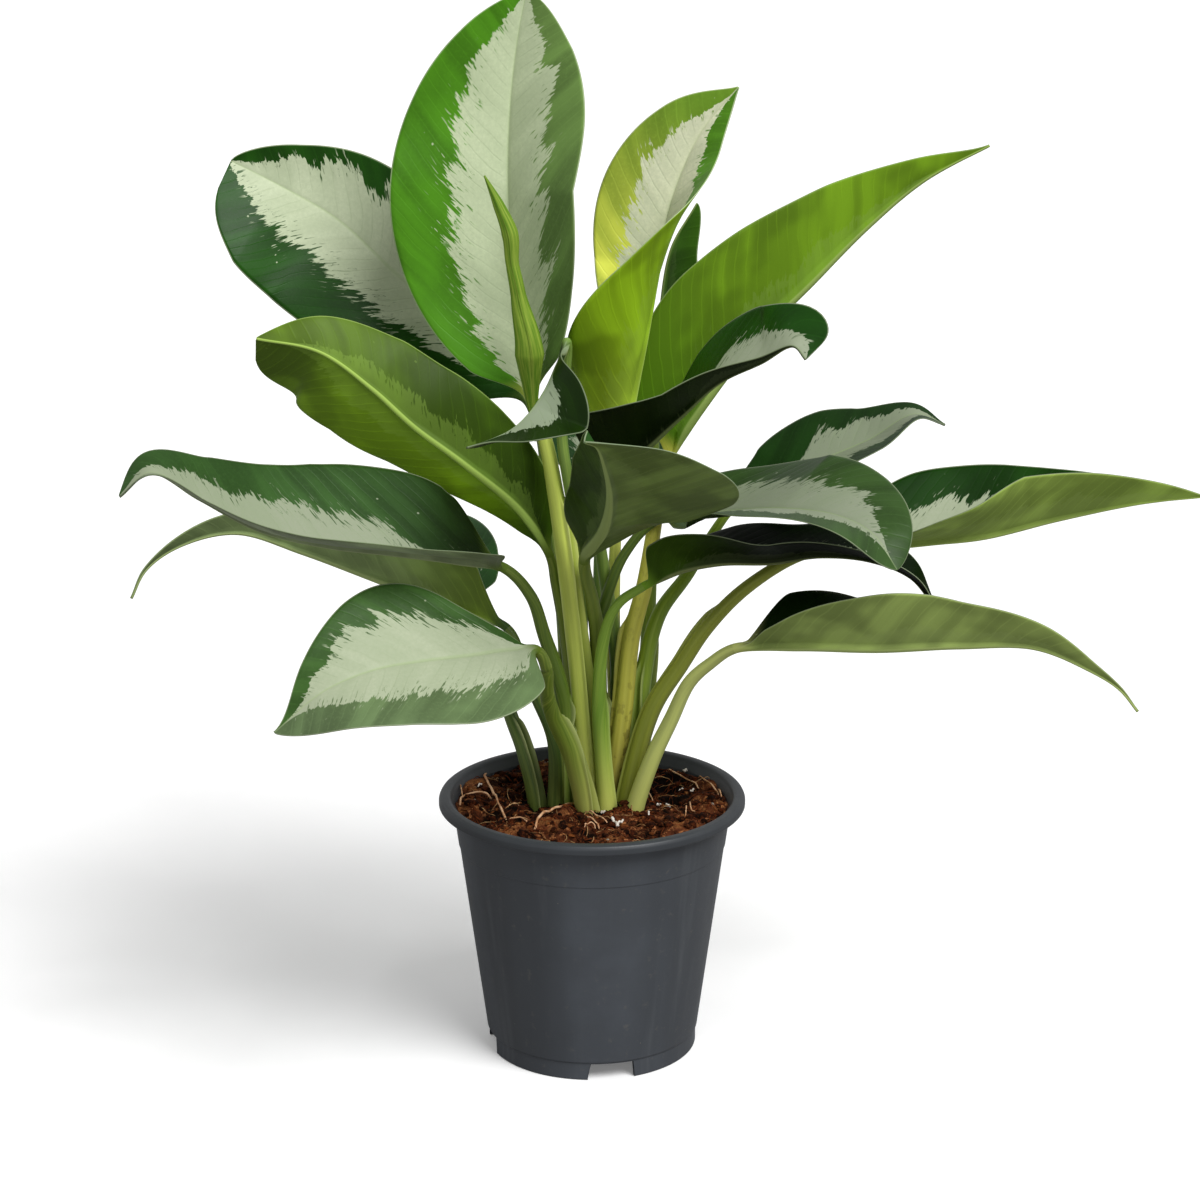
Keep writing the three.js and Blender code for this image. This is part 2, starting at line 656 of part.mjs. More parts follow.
const COLOURS = { pot: 0x3c4044, soil: 0x5a3420, leaf: 0x3f7a2a, young_leaf: 0x9ab83c };

const part = new THREE.Group();

function add(name, geometry, colour, roughness) {
  const material = new THREE.MeshStandardMaterial({ color: colour, roughness, metalness: 0 });
  const mesh = new THREE.Mesh(geometry, material);
  mesh.name = name;
  part.add(mesh);
}

add('pot', makePot(), COLOURS.pot, 0.5);
add('soil', makeSoil(), COLOURS.soil, 1);
for (const [name, leaf] of Object.entries(LEAVES)) {
  let solid = manifoldOf(solidOf(leafRows(leaf)));
  if (name === 'top_centre') solid = solid.add(makeSpear());
  add(`leaf_${name}`, geometryOf(solid), name.startsWith('young') ? COLOURS.young_leaf : COLOURS.leaf, 0.4);
}

// The part's origin is the middle of its box, at the floor.
const box = new THREE.Box3().setFromObject(part);
const middle = box.getCenter(new THREE.Vector3());
for (const mesh of part.children) mesh.geometry.translate(-middle.x, -middle.y, -box.min.z);

export default part;
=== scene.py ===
"""A potted Chinese evergreen: variegated leaves on long petioles in a round nursery pot of soil."""
import math
import random
from types import SimpleNamespace

import bmesh
import bpy
import numpy as np
from mathutils import Euler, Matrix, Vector, noise


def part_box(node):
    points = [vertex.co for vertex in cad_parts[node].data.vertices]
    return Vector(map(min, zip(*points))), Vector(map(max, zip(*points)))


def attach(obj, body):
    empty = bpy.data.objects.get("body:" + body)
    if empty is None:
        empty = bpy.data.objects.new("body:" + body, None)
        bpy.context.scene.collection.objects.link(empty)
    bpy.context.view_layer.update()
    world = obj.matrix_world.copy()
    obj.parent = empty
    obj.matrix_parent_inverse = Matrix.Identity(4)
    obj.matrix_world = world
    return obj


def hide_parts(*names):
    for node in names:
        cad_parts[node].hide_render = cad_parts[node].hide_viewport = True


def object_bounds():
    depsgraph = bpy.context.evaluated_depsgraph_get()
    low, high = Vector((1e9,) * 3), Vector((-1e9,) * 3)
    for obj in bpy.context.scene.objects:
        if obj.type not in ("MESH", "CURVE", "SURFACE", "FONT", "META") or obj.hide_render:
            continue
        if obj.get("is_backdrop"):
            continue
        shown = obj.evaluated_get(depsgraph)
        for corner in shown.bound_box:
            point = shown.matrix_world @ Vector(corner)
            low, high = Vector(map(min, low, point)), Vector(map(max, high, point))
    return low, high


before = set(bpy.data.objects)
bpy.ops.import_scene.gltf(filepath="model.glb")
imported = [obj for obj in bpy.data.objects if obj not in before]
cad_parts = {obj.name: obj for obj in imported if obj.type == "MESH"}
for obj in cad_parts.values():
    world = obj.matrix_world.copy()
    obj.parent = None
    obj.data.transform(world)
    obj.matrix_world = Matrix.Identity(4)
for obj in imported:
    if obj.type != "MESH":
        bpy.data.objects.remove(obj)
cad_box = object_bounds()

MM = 0.001
POT_LOW, POT_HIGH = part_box("pot")
AXIS_X = (POT_LOW[0] + POT_HIGH[0]) / 2
AXIS_Y = (POT_LOW[1] + POT_HIGH[1]) / 2

# Lengths are in millimetres, places in millimetres from the pot's axis and the floor, and angles in degrees.

# Camera
CAMERA_PLACE = (4.4, -1626.0, 732.0)
CAMERA_DIP = 16.24
CAMERA_LENS = 93.2
CAMERA_SENSOR = 36.0

# Light. The lamp's direction and the floor's half size are in metres.
ROOM_LIGHT = 0.46
KEY_FROM = (1.15, -1.35, 2.2)
KEY_SOFTNESS = 34.0
KEY_POWER = 2.75
FLOOR_GLOW = 0.16
FLOOR_HALF = 14.0

# Pot
POT_HEIGHT = 147.2
RIM_RADIUS = 85.0
RIM_DROP = 5.8
RIM_LIP_WIDTH = 6.8
RIM_WALL = 1.6
RIM_TOP_THICKNESS = 2.2
WALL = 1.5
WALL_SLOPE = 0.134
STEP_HEIGHT = 119.0
STEP_OUT = 0.5
FOOT_HEIGHT = 10.8
FOOT_RADIUS = 59.3
FOOT_SET_IN = 0.9
SKIRT_WALL = 2.2
FLOOR_TOP = 12.4
FLOOR_THICKNESS = 1.7
FLOOR_CORNER = 2.5
FLOOR_EYE = 6
POT_COLUMNS = 192
SHARP_FROM = 40.0
MERGE = 0.02
NOTCH_COUNT = 4
NOTCH_TURN = 11.3
NOTCH_WIDTH = 24.0
NOTCH_SLANT = 3.0
NOTCH_HEIGHT = 9.6
# How far apart, in radians, the two columns stand at a notch's upright edge.
NOTCH_EDGE = 0.0006
DRAIN_COUNT = 6
DRAIN_RADIUS = 5.0
DRAIN_RING = 38.0
DRILL_DEPTH = 8.0
# The painted reflection bands of sheen round the wall: where the first one is, in radians, and how many
# there are.
SHEEN_TURN = 0.12
SHEEN_COUNT = 4.0

# Soil
GAP = 0.35
SOIL_LEVEL = 137.5
SOIL_CROWN = 5.0
SOIL_LUMP = 1.7
SOIL_BANK = 2.4
ROOT_LIFT = 2.6
# Clods and hollows seen on the soil: x, y, how far they reach and how high they rise.
HEAPS = [
    (-65, 25, 13, 4.0), (-70, -8, 12, 3.0), (-46, -52, 14, 3.0), (-19, -40, 12, 4.0), (24, -26, 9, 2.6),
    (47, -40, 13, 3.6), (62, -3, 12, 3.8), (8, -62, 14, 2.6), (66, 34, 10, 2.4), (-30, 60, 12, 2.4),
    (2, -6, 9, -6.0), (40, 28, 15, -8.0), (-61, 62, 10, -5.0), (-25, 4, 12, -7.0), (28, 53, 12, -5.0),
    (44, 2, 10, -6.0), (-44, 34, 10, -5.0), (-56, -26, 8, -4.0), (30, -50, 7, -3.0), (-2, -58, 7, -3.0),
]
SOIL_RINGS = 110
SOIL_COLUMNS = 300
ROOT_DEPTH = 24.0
ROOT_LEAN = 0.3
ROOT_POINTS = 40
FIBRE_STEPS = 8
FIBRE_BEND = 0.28
TUBE_FACE = (0.31, 0.12, 0.94)

# Leaves: rows along the blade and across it, and rows of the petiole
ALONG = 130
ACROSS = 56
STEM_ROWS = 70
BLADE_THICKNESS = 0.8
TIP_HALF_WIDTH = 0.7
BASE_BLEND = 0.1
STEM_FOOT = 4.6
STEM_NECK = 2.4
STEM_TAPER = 0.8
CURVE_STEPS = 900
WAVES = 5
RIGHT_WAVE_PHASE = 2.0
EDGE_THINNING = 0.45
# How far rows crowd to the ends of the blade, and columns to its midrib.
END_CROWDING = 0.06
RIB_CROWDING = 1.35
# Margin ripples: their height, and how long the long and the short ones are.
RIPPLE = 0.55
RIPPLE_LONG = 17.0
RIPPLE_SHORT = 8.3
QUILT = 0.22
RIB_GROOVE = 0.5
RIB_SWELL = 1.25
VEIN_SPACING = 8.0
VEIN_SLANT = 0.75
VEIN_BEND = 0.004
VEIN_DRIFT = 9.0
# The silver's edge: how far its lobes, steps, teeth and flames reach, as shares of the half blade.
LOBES = 1.0
STEPS = 0.17
TEETH = 0.34
FLAMES = 0.22
RIGHT_SHIFT = 31.7


def half(width, widest, round_base, fold=0, curl=0):
    """One half of a blade: its width, where it is widest, its base, its fold up and its curl.

    A fold or curl is in degrees: one for all of it, or three at the base, the middle and the tip.
    """
    return {"width": width, "widest": widest, "round": round_base, "fold": fold, "curl": curl}


# stem: the petiole's points from the soil up, and rib: the midrib's from base to tip, in millimetres from
# the pot's axis. face: where the upper side looks. foot and neck: the petiole's radius at its two ends.
LEAVES = {
    "top_centre": dict(
        stem=[(0, 6, 140), (-5, 6, 199), (-12, 4, 263), (-19, 2, 314), (-25, 6, 346)],
        rib=[
            (-32, 16, 365), (-41, 30, 418), (-45, 42, 476), (-44, 52, 518), (-40, 58, 554), (-35, 60, 580),
        ],
        face=(0, -1, 0.25), foot=5.6, neck=3.6, wave=3,
        left=half(64, 0.49, 0.75, (10, 8, 20)),
        right=half(60, 0.5, 0.65, (50, 54, 20)),
    ),
    "upper_left": dict(
        stem=[(-16, 29, 140), (-15, 38, 218), (-24, 46, 303)],
        rib=[
            (-34, 54, 354), (-73, 70, 394), (-110, 84, 424), (-142, 98, 451), (-174, 108, 468),
            (-202, 110, 482),
        ],
        face=(-0.2, -0.75, 0.6),
        left=half(60, 0.68, 0.75, 5),
        right=half(46, 0.46, 0.6, (5, 5, 16), (0, 10, 20)),
    ),
    "mid_left": dict(
        stem=[(-8, 18, 140), (-11, 18, 201), (-15, 18, 236), (-20, 18, 263)],
        rib=[
            (-23, 16, 279), (-39, 12, 306), (-70, 4, 335), (-96, 0, 356), (-118, -2, 377), (-145, -4, 397),
            (-178, -4, 404),
        ],
        face=(-0.3, 0.8, 0.5), foot=4.2, neck=2.6,
        left=half(37, 0.48, 0.8, (10, 20, 58), (10, 20, 20)),
        right=half(42, 0.76, 1, (10, 10, 0), (10, 20, 10)),
    ),
    "young_upright": dict(
        stem=[(16, 34, 140), (12, 36, 219), (13, 35, 283)],
        rib=[
            (16, 32, 327), (21, 31, 360), (28, 31, 396), (35, 33, 434), (43, 36, 472), (58, 37, 507),
            (78, 35, 532),
        ],
        face=(-0.1, -1, 0.1),
        left=half(39, 0.64, 2, (40, 0, 10), (40, 0, -20)),
        right=half(60, 0.4, 0.8, (100, 70, 20), (210, 80, 0)),
    ),
    "slender_back": dict(
        stem=[(26, 24, 140), (31, 50, 214), (34, 72, 284)],
        rib=[(36, 92, 344), (39, 100, 388), (45, 104, 433), (59, 104, 459)],
        face=(1, 0.2, 0.3),
        left=half(24, 0.45, 0.6, 30, 20),
        right=half(24, 0.45, 0.6, 30, 20),
    ),
    "right_up": dict(
        stem=[(12, 10, 140), (18, 14, 196), (22, 18, 233), (29, 24, 260), (35, 30, 296)],
        rib=[
            (40, 36, 326), (66, 42, 367), (96, 48, 402), (118, 52, 423), (149, 58, 453), (180, 62, 478),
            (216, 64, 497),
        ],
        face=(-0.6, 0.3, 0.65), foot=4.9, neck=3.6,
        left=half(50, 0.35, 0.7, 50, 10),
        right=half(54, 0.32, 0.65, 60, 10),
    ),
    "right_middle": dict(
        stem=[(14, 22, 140), (14, 25, 215), (8, 28, 258), (4, 17, 290), (5, 5, 308)],
        rib=[
            (6, -4, 327), (26, -14, 345), (46, -26, 367), (66, -38, 388), (88, -50, 401), (104, -58, 411),
            (110, -62, 405),
        ],
        face=(0, -0.1, 1),
        left=half(42, 0.66, 1.1, (0, 25, 40), 10),
        right=half(44, 0.17, 0.35, (65, 22, 25), 10),
    ),
    "front_right": dict(
        stem=[(3, 17, 140), (3, 10, 233), (0, 2, 258)],
        rib=[(-4, -9, 283), (7, -42, 311), (10, -76, 337), (7, -106, 360), (3, -126, 374), (-3, -140, 380)],
        face=(0.5, -0.2, 0.85), foot=4.4, neck=3.2,
        left=half(66, 0.6, 1, (48, 44, 36), (0, -10, 0)),
        right=half(31, 0.4, 0.6, (20, 8, 10), (0, 0, 10)),
    ),
    "front_small": dict(
        stem=[(-4, 30, 140), (-6, 21, 225), (-6, 13, 266), (-6, 4, 291), (-12, -2, 322), (-16, -3, 352)],
        rib=[
            (-13, -8, 403), (-18, -20, 395), (-24, -34, 384), (-32, -46, 374), (-42, -58, 367),
            (-54, -66, 363), (-64, -72, 361),
        ],
        face=(0, -0.9, 0.45), foot=4.2,
        left=half(32, 0.52, 3, (98, 14, 70)),
        right=half(16, 0.5, 0.6, -85),
    ),
    "long_left": dict(
        stem=[(-11, 7, 140), (-14, 6, 182), (-18, 0, 213), (-26, -5, 240), (-33, -12, 264)],
        rib=[
            (-47, -20, 282), (-73, -36, 292), (-106, -50, 300), (-139, -62, 307), (-172, -72, 318),
            (-201, -80, 336), (-225, -86, 351), (-241, -88, 339),
        ],
        face=(0, -0.14, 1), foot=4.4, neck=2.8,
        left=half(48, 0.4, 0.5, (20, 18, 12), 10),
        right=half(53, 0.34, 0.4, (36, 35, 15)),
    ),
    "under_left": dict(
        stem=[(-20, -3, 140), (-21, -5, 180), (-31, -8, 207), (-38, -9, 227)],
        rib=[
            (-46, -6, 244), (-67, 2, 251), (-86, 8, 256), (-116, 16, 265), (-159, 24, 279), (-196, 28, 289),
            (-227, 26, 282), (-246, 22, 269), (-254, 18, 254),
        ],
        face=(-0.1, 0.5, 0.85),
        left=half(36, 0.25, 0.6, (50, 40, 30)),
        right=half(30, 0.3, 0.6, (20, 20, 30)),
    ),
    "lower_left": dict(
        stem=[(-3, -12, 140), (-11, -22, 176), (-21, -36, 204), (-24, -48, 222), (-24, -58, 238)],
        rib=[
            (-29, -66, 250), (-40, -74, 253), (-63, -88, 254), (-89, -102, 255), (-112, -114, 254),
            (-136, -124, 246), (-161, -130, 226),
        ],
        face=(-0.1, -0.55, 0.83), foot=5.4, neck=2.8,
        left=half(54, 0.4, 0.55, 5, 5),
        right=half(48, 0.47, 1.6, 10, 10),
    ),
    "right_back": dict(
        stem=[(24, 12, 140), (28, 22, 204), (37, 32, 240), (53, 44, 260)],
        rib=[(80, 58, 297), (102, 60, 310), (127, 62, 321), (155, 64, 333), (180, 66, 347), (197, 66, 341)],
        face=(0, -0.1, 1),
        left=half(34, 0.42, 0.9, (30, 28, 12)),
        right=half(40, 0.42, 0.6, 10),
    ),
    "right_front": dict(
        stem=[(6, 28, 140), (2, 27, 192), (3, 23, 229), (8, 20, 254), (18, 20, 279)],
        rib=[
            (35, 22, 297), (68, 10, 305), (102, -28, 317), (130, -56, 320), (146, -75, 315), (157, -88, 300),
        ],
        face=(0.1, -0.1, 1), foot=4.2,
        left=half(46, 0.46, 0.6, (25, 33, 20), (0, -5, -15)),
        right=half(40, 0.5, 0.6, (-4, 5, 10)),
    ),
    "under_right": dict(
        stem=[(8, -6, 140), (4, -4, 202), (7, -4, 240), (14, -4, 257)],
        rib=[
            (28, 0, 266), (46, -2, 276), (69, -10, 283), (96, -20, 286), (122, -30, 292), (148, -37, 291),
            (169, -42, 283), (182, -44, 268),
        ],
        face=(0, 0.1, 1), foot=4.2,
        left=half(40, 0.42, 0.6, (25, 20, 20)),
        right=half(34, 0.3, 0.4, (48, 28, 20), (0, -10, 0)),
    ),
    "lower_right": dict(
        stem=[(23, -14, 140), (33, -15, 172), (43, -17, 195), (53, -21, 218), (64, -25, 230)],
        rib=[
            (77, -30, 240), (111, -44, 246), (152, -58, 249), (193, -70, 254), (231, -80, 256),
            (259, -84, 245), (275, -86, 235), (285, -86, 223),
        ],
        face=(0, 0.2, 1), foot=5, neck=2.8,
        left=half(43, 0.22, 0.5, (50, 18, 10)),
        right=half(39, 0.38, 1.3, (30, 50, 40), 10),
    ),
    "far_right": dict(
        stem=[(19, -1, 140), (33, 2, 194), (49, 4, 220), (63, 6, 241), (84, 10, 262), (114, 16, 279)],
        rib=[
            (142, 22, 282), (184, 28, 284), (216, 32, 286), (258, 36, 295), (301, 38, 303), (338, 38, 307),
        ],
        face=(0, -0.1, 1), foot=5, neck=2.6,
        left=half(45, 0.33, 0.6, (45, 40, 25)),
        right=half(44, 0.42, 0.7, (20, 55, 50), (0, 10, 10)),
    ),
    "back_left": dict(
        stem=[(-31, 1, 140), (-38, 6, 170), (-45, 14, 187), (-53, 30, 209)],
        rib=[(-68, 66, 237), (-82, 96, 251), (-95, 126, 261), (-117, 152, 263), (-136, 170, 262)],
        face=(0, 0, 1),
        left=half(32, 0.42, 0.62, 10),
        right=half(32, 0.42, 0.62, 10),
    ),
    "back_centre": dict(
        stem=[(4, 40, 140), (4, 58, 218), (4, 76, 266)],
        rib=[(6, 90, 292), (8, 122, 308), (11, 154, 321), (16, 188, 330), (23, 216, 334)],
        face=(0, -0.6, 0.8),
        left=half(38, 0.42, 0.62, 15),
        right=half(38, 0.42, 0.62, 15),
    ),
}

# silver: the share of the left and the right half that it covers, and where along the midrib it starts
# and ends. green, pale, under, stalk and foot: the colours of the green, of the silver, of the underside,
# of the petiole and of its base. A key with _left or _right is for that half alone, and one with _foot or
# _tip for that end. brown: how stained the petiole is. gloss: the blade's, where it differs. sheath: which
# way the petiole's sheath opens, in degrees, and how far up it goes. stout: how much it thickens there.
LOOKS = {
    "top_centre": dict(
        silver=(0.56, 0.62, 0.0, 1.12), green="4c8818", green_right="6a8a46", pale="ccd8b2", stalk="e6f470",
        foot="ecec8c", sheath=(-50, 0.8), stout=0.3,
    ),
    "upper_left": dict(silver=(0.5, 0.74, 0.1, 1.1), green="1e4c0a", pale="ccd6b4", stalk="6d8a40"),
    # Painted light: mid_left's bright underside is painted light shining through it, and its darker left
    # half, foot and tip are painted shade from the leaves above.
    "mid_left": dict(
        silver=(0.4, 0.4, 0.1, 0.96), under="98c81e", under_left="44620f", under_foot="3c5a0c",
        under_tip="5e7a20", stalk="6f8430", sheath=(-30, 0.45), stout=0.3,
    ),
    # Painted light: young_upright's very bright green and underside are a painted glow of light shining
    # through the blade.
    "young_upright": dict(
        silver=(0.6, 0.5, 0.0, 1.04), green="ecfa60", green_tip="5e9624", green_right="4c9a1c",
        pale="f4f6d4", pale_foot="e4e878", under="a4d024", under_foot="c8e444", stalk="e0e670",
    ),
    "slender_back": dict(silver=(0.4, 0.4, 0.2, 0.9), under="3f6a18", stalk="8aa63c"),
    # Painted light: right_up's bright underside is painted light shining through it.
    "right_up": dict(
        silver=(0.3, 0.3, 0.1, 0.95), under="729a1a", under_foot="5a8a10", stalk="ece460", brown=0.6,
        foot="8a7440", sheath=(10, 0.6), stout=0.2,
    ),
    # Painted shade: right_middle's nearly black underside lies in the shade of the leaves over it.
    "right_middle": dict(silver=(0.6, 0.62, 0.58, 1.1), green="1c480c", pale="a4ac94", under="1c2a08"),
    "front_right": dict(
        silver=(0.3, 0.3, 0.1, 0.95), under="788e4a", under_right="3c5418", stalk="6c8030", stout=0.35,
    ),
    "front_small": dict(silver=(0.5, 0.2, 0.34, 0.86), green="182f04", pale="8c9880", under="2c4210"),
    "long_left": dict(
        silver=(0.86, 0.48, 0.3, 1.1), green="345524", green_foot="0c1804", pale="98a088", under="8a9870",
        stalk="6f8a34", sheath=(40, 0.5), stout=0.2,
    ),
    "under_left": dict(
        silver=(0.4, 0.4, 0.2, 0.9), under="98b070", under_foot="8cac30", under_tip="5a6a44",
        stalk="3f5a2a",
    ),
    # Painted sheen: lower_left's paler grey green on its left half.
    "lower_left": dict(
        silver=(0.56, 0.7, 0.02, 0.97), green="3e602a", green_left="667c52", pale="b4bda0", stalk="647a22",
        foot="c0c468", sheath=(-60, 0.62), stout=0.2,
    ),
    "right_back": dict(
        silver=(0.66, 0.66, 0.38, 1.05), green="1a3810", pale="8c947e", stalk="8cac30", stout=0.4,
    ),
    "right_front": dict(silver=(0.6, 0.6, 0.12, 0.97), green="365124", pale="949c86", stalk="4a6422"),
    # Painted shade: under_right's near black colours, darkest at its tip, lie in the shade of right_front.
    "under_right": dict(
        silver=(0.35, 0.35, 0.2, 0.9), green="0c1c06", under="0d1e04", gloss=0.04, under_foot="46641a",
        under_tip="060c02", stalk="80aa34", foot="dcdc74", sheath=(30, 0.7), stout=0.25,
    ),
    "lower_right": dict(
        silver=(0.4, 0.4, 0.3, 0.95), green="142a06", under="a4ba64", stalk="c4cc78", foot="bcc068",
        sheath=(50, 0.66),
    ),
    # Painted light: far_right's bright underside is painted light shining through it.
    "far_right": dict(
        silver=(0.6, 0.5, 0.08, 1.1), green="183a0c", pale="aab298", under="a8c45c", gloss=0.03,
        under_tip="a8c858", stalk="a4ac3e", sheath=(70, 0.66),
    ),
    "back_left": dict(silver=(0.55, 0.55, 0.1, 0.95), stalk="3a5824"),
    "back_centre": dict(silver=(0.55, 0.55, 0.1, 0.95), stalk="5a7a34"),
}
STALK = "7c9c48"
FOOT = "5c5a24"
FOOT_REACH = 85.0
STOUT = 0.12
SHEATH = (0, 0.5)
SHEATH_OPENING = 38.0
SHEATH_EDGE = 7.0
SHEATH_DEPTH = 0.42
SHEATH_LIP = 0.4
LEAF_GLOSS = 0.14
STALK_GLOSS = LEAF_GLOSS * 2.2
LEAF_BUMP = 0.00025
STAIN_REACH = 110.0
POT_COLOUR = "4a4e54"
POT_GLOSS = 0.42
SOIL_GLOSS = 0.08

# The furled leaf that rises out of the top leaf's sheath.
SPEAR_KNOTS = [
    [-30, 6, 346], [-32, 4, 365], [-33, 1, 382], [-34, -3, 402], [-38, -4, 422], [-40, -5, 434],
    [-42, -5, 445], [-43, -6, 460], [-49, -6, 476], [-56, -6, 491],
]
SPEAR_RADII = [1.4, 2.6, 5.2, 8.4, 6.6, 4.4, 3.8, 4.8, 3.2, 0.5]
SPEAR_FACE = (0, -1, 0.2)
SPEAR_FLATNESS = 0.75
SPEAR_ROWS = 90
SPEAR_COLUMNS = 72
SPEAR_LAP = 0.16
SPEAR_SEAM = 1.15
SPEAR_TWIST = 0.9


def seeded(name):
    """The same random draw each time for a piece of this name."""
    return random.Random(name)


def placed(points):
    """Millimetres from the pot's axis, as metres in the part's frame."""
    out = np.asarray(points, float) * MM
    out[..., 0] += AXIS_X
    out[..., 1] += AXIS_Y
    return out


def polar(radius, angle):
    """The x and y of a place at a radius and an angle round the pot's axis."""
    return radius * math.cos(angle), radius * math.sin(angle)


def smooth(low, high, x):
    """From 0 to 1, softly, while x goes from low to high."""
    t = np.clip((np.asarray(x, float) - low) / (high - low), 0, 1)
    return t * t * (3 - 2 * t)


def stand(name, data):
    """A new object in the scene."""
    ob = bpy.data.objects.new(name, data)
    bpy.context.scene.collection.objects.link(ob)
    return ob


# ---------------------------------------------------------------- curves


class Curve:
    """A centripetal curve through its knots."""

    def __init__(self, knots):
        self.knots = np.asarray(knots, float)

    def at(self, share):
        knots = self.knots
        last = len(knots) - 1
        place = np.clip(np.asarray(share, float), 0, 1) * last
        i = np.minimum(place.astype(int), last - 1)
        weight = (place - i)[:, None]
        padded = np.vstack([2 * knots[0] - knots[1], knots, 2 * knots[-1] - knots[-2]])
        p0, p1, p2, p3 = padded[i], padded[i + 1], padded[i + 2], padded[i + 3]
        pairs = ((p0, p1), (p1, p2), (p2, p3))
        d0, d1, d2 = (np.sqrt(np.linalg.norm(b - a, axis=1))[:, None] for a, b in pairs)
        t1 = ((p1 - p0) / d0 - (p2 - p0) / (d0 + d1) + (p2 - p1) / d1) * d1
        t2 = ((p2 - p1) / d1 - (p3 - p1) / (d1 + d2) + (p3 - p2) / d2) * d1
        c2 = -3 * p1 + 3 * p2 - 2 * t1 - t2
        c3 = 2 * p1 - 2 * p2 + t1 + t2
        return p1 + t1 * weight + c2 * weight**2 + c3 * weight**3


def evenly(curve, start, end, shares):
    """Points at shares of the length between two places of a curve, and that length."""
    fine = curve.at(start + (end - start) * np.linspace(0, 1, CURVE_STEPS + 1))
    lengths = np.concatenate([[0], np.cumsum(np.linalg.norm(np.diff(fine, axis=0), axis=1))])
    wanted = np.asarray(shares) * lengths[-1]
    points = np.stack([np.interp(wanted, lengths, fine[:, k]) for k in range(3)], axis=1)
    return points, lengths[-1]


def unit(v):
    return v / np.linalg.norm(v, axis=-1, keepdims=True)


def frames_along(points, face):
    """Tangent, side and up at each point, with up as near to face as it can be."""
    tangent = unit(np.gradient(points, axis=0))
    side = unit(np.cross(tangent, np.asarray(face, float)))
    return tangent, side, unit(np.cross(side, tangent))


def swept(points, side, up, out, lift):
    """Rows of places beside a line, each so far out to its side and so far up from it."""
    return points[:, None] + side[:, None] * out[..., None] + up[:, None] * lift[..., None]


# ---------------------------------------------------------------- meshes


def make_piece(name, verts, faces, materials, node=None, uvs=None, kinds=None, is_smooth=True):
    """A mesh piece of the plant, with its material for each kind of face."""
    mesh = bpy.data.meshes.new(name)
    mesh.from_pydata([tuple(v) for v in verts], [], [tuple(int(i) for i in f) for f in faces])
    for material in materials:
        mesh.materials.append(material)
    if kinds is not None:
        mesh.polygons.foreach_set("material_index", kinds)
    mesh.polygons.foreach_set("use_smooth", [is_smooth] * len(mesh.polygons))
    corners = np.empty(len(mesh.loops), dtype=int)
    mesh.loops.foreach_get("vertex_index", corners)
    for uv_name, values in (uvs or {}).items():
        layer = mesh.uv_layers.new(name=uv_name)
        layer.data.foreach_set("uv", np.asarray(values, float)[corners].ravel())
    mesh.update()
    ob = stand(name, mesh)
    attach(ob, "root")
    if node:
        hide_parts(node)
    return ob


def mixed(values, u):
    """A value along the blade, from one for all of it or from three at its base, middle and tip."""
    return np.interp(u, [0, 0.5, 1], np.broadcast_to(values, 3))


def half_width(side, u):
    """How far a half of the blade reaches from the midrib."""
    taper = side["round"] * (1 - side["widest"]) / side["widest"]
    shape = (u / side["widest"]) ** side["round"] * ((1 - u) / (1 - side["widest"])) ** taper
    return TIP_HALF_WIDTH + (side["width"] - TIP_HALF_WIDTH) * shape


def vein_place(along, reach):
    """Which side vein a place lies on: the same number all along one vein."""
    return along - VEIN_SLANT * reach - VEIN_BEND * reach**2


def blade_sheet(leaf, u, v, points, side, up, length, seed):
    """The middle surface of a blade on a grid of u along and v across, and each place's reach in mm."""
    grid_u, grid_v = np.meshgrid(u, v, indexing="ij")
    is_left = grid_v < 0
    share = np.abs(grid_v)
    by_half = lambda read: np.where(is_left, read(leaf["left"]), read(leaf["right"]))
    fold = np.radians(by_half(lambda side: mixed(side["fold"], grid_u)))
    curl = np.radians(by_half(lambda side: mixed(side["curl"], grid_u)))
    reach = share * by_half(lambda side: half_width(side, grid_u))
    turn = curl * share
    safe = np.where(np.abs(turn) < 1e-4, 1.0, turn)
    chord = np.where(np.abs(turn) < 1e-4, reach, reach * np.sin(safe / 2) / (safe / 2))
    angle = fold + turn / 2
    out = np.sign(grid_v) * chord * np.cos(angle)
    lift = chord * np.sin(angle)
    phase = np.where(is_left, 0.0, RIGHT_WAVE_PHASE)
    ends = np.sin(np.pi * grid_u)
    lift += leaf.get("wave", 0) * share**2 * np.sin(grid_u * np.pi * WAVES + phase) * ends
    # Margins ripple a little, and the blade quilts up between its side veins.
    along = grid_u * length
    ripple = np.sin(along / RIPPLE_LONG + seed * 3.1 + grid_v * 1.7)
    ripple += 0.6 * np.sin(along / RIPPLE_SHORT + seed)
    lift += RIPPLE * ripple * share**2 * ends
    veins = vein_place(along, reach) / VEIN_SPACING
    strength = 0.6 + 0.4 * np.sin(veins * 0.9 + seed * 2) * np.cos(reach / 14 + seed)
    quilt = np.abs(np.sin(np.pi * veins)) - 0.6
    lift += QUILT * strength * quilt * smooth(2, 10, reach) * (1 - smooth(0.8, 1, share)) * ends**0.5
    return swept(points, side, up, out, lift), reach * np.sign(grid_v)


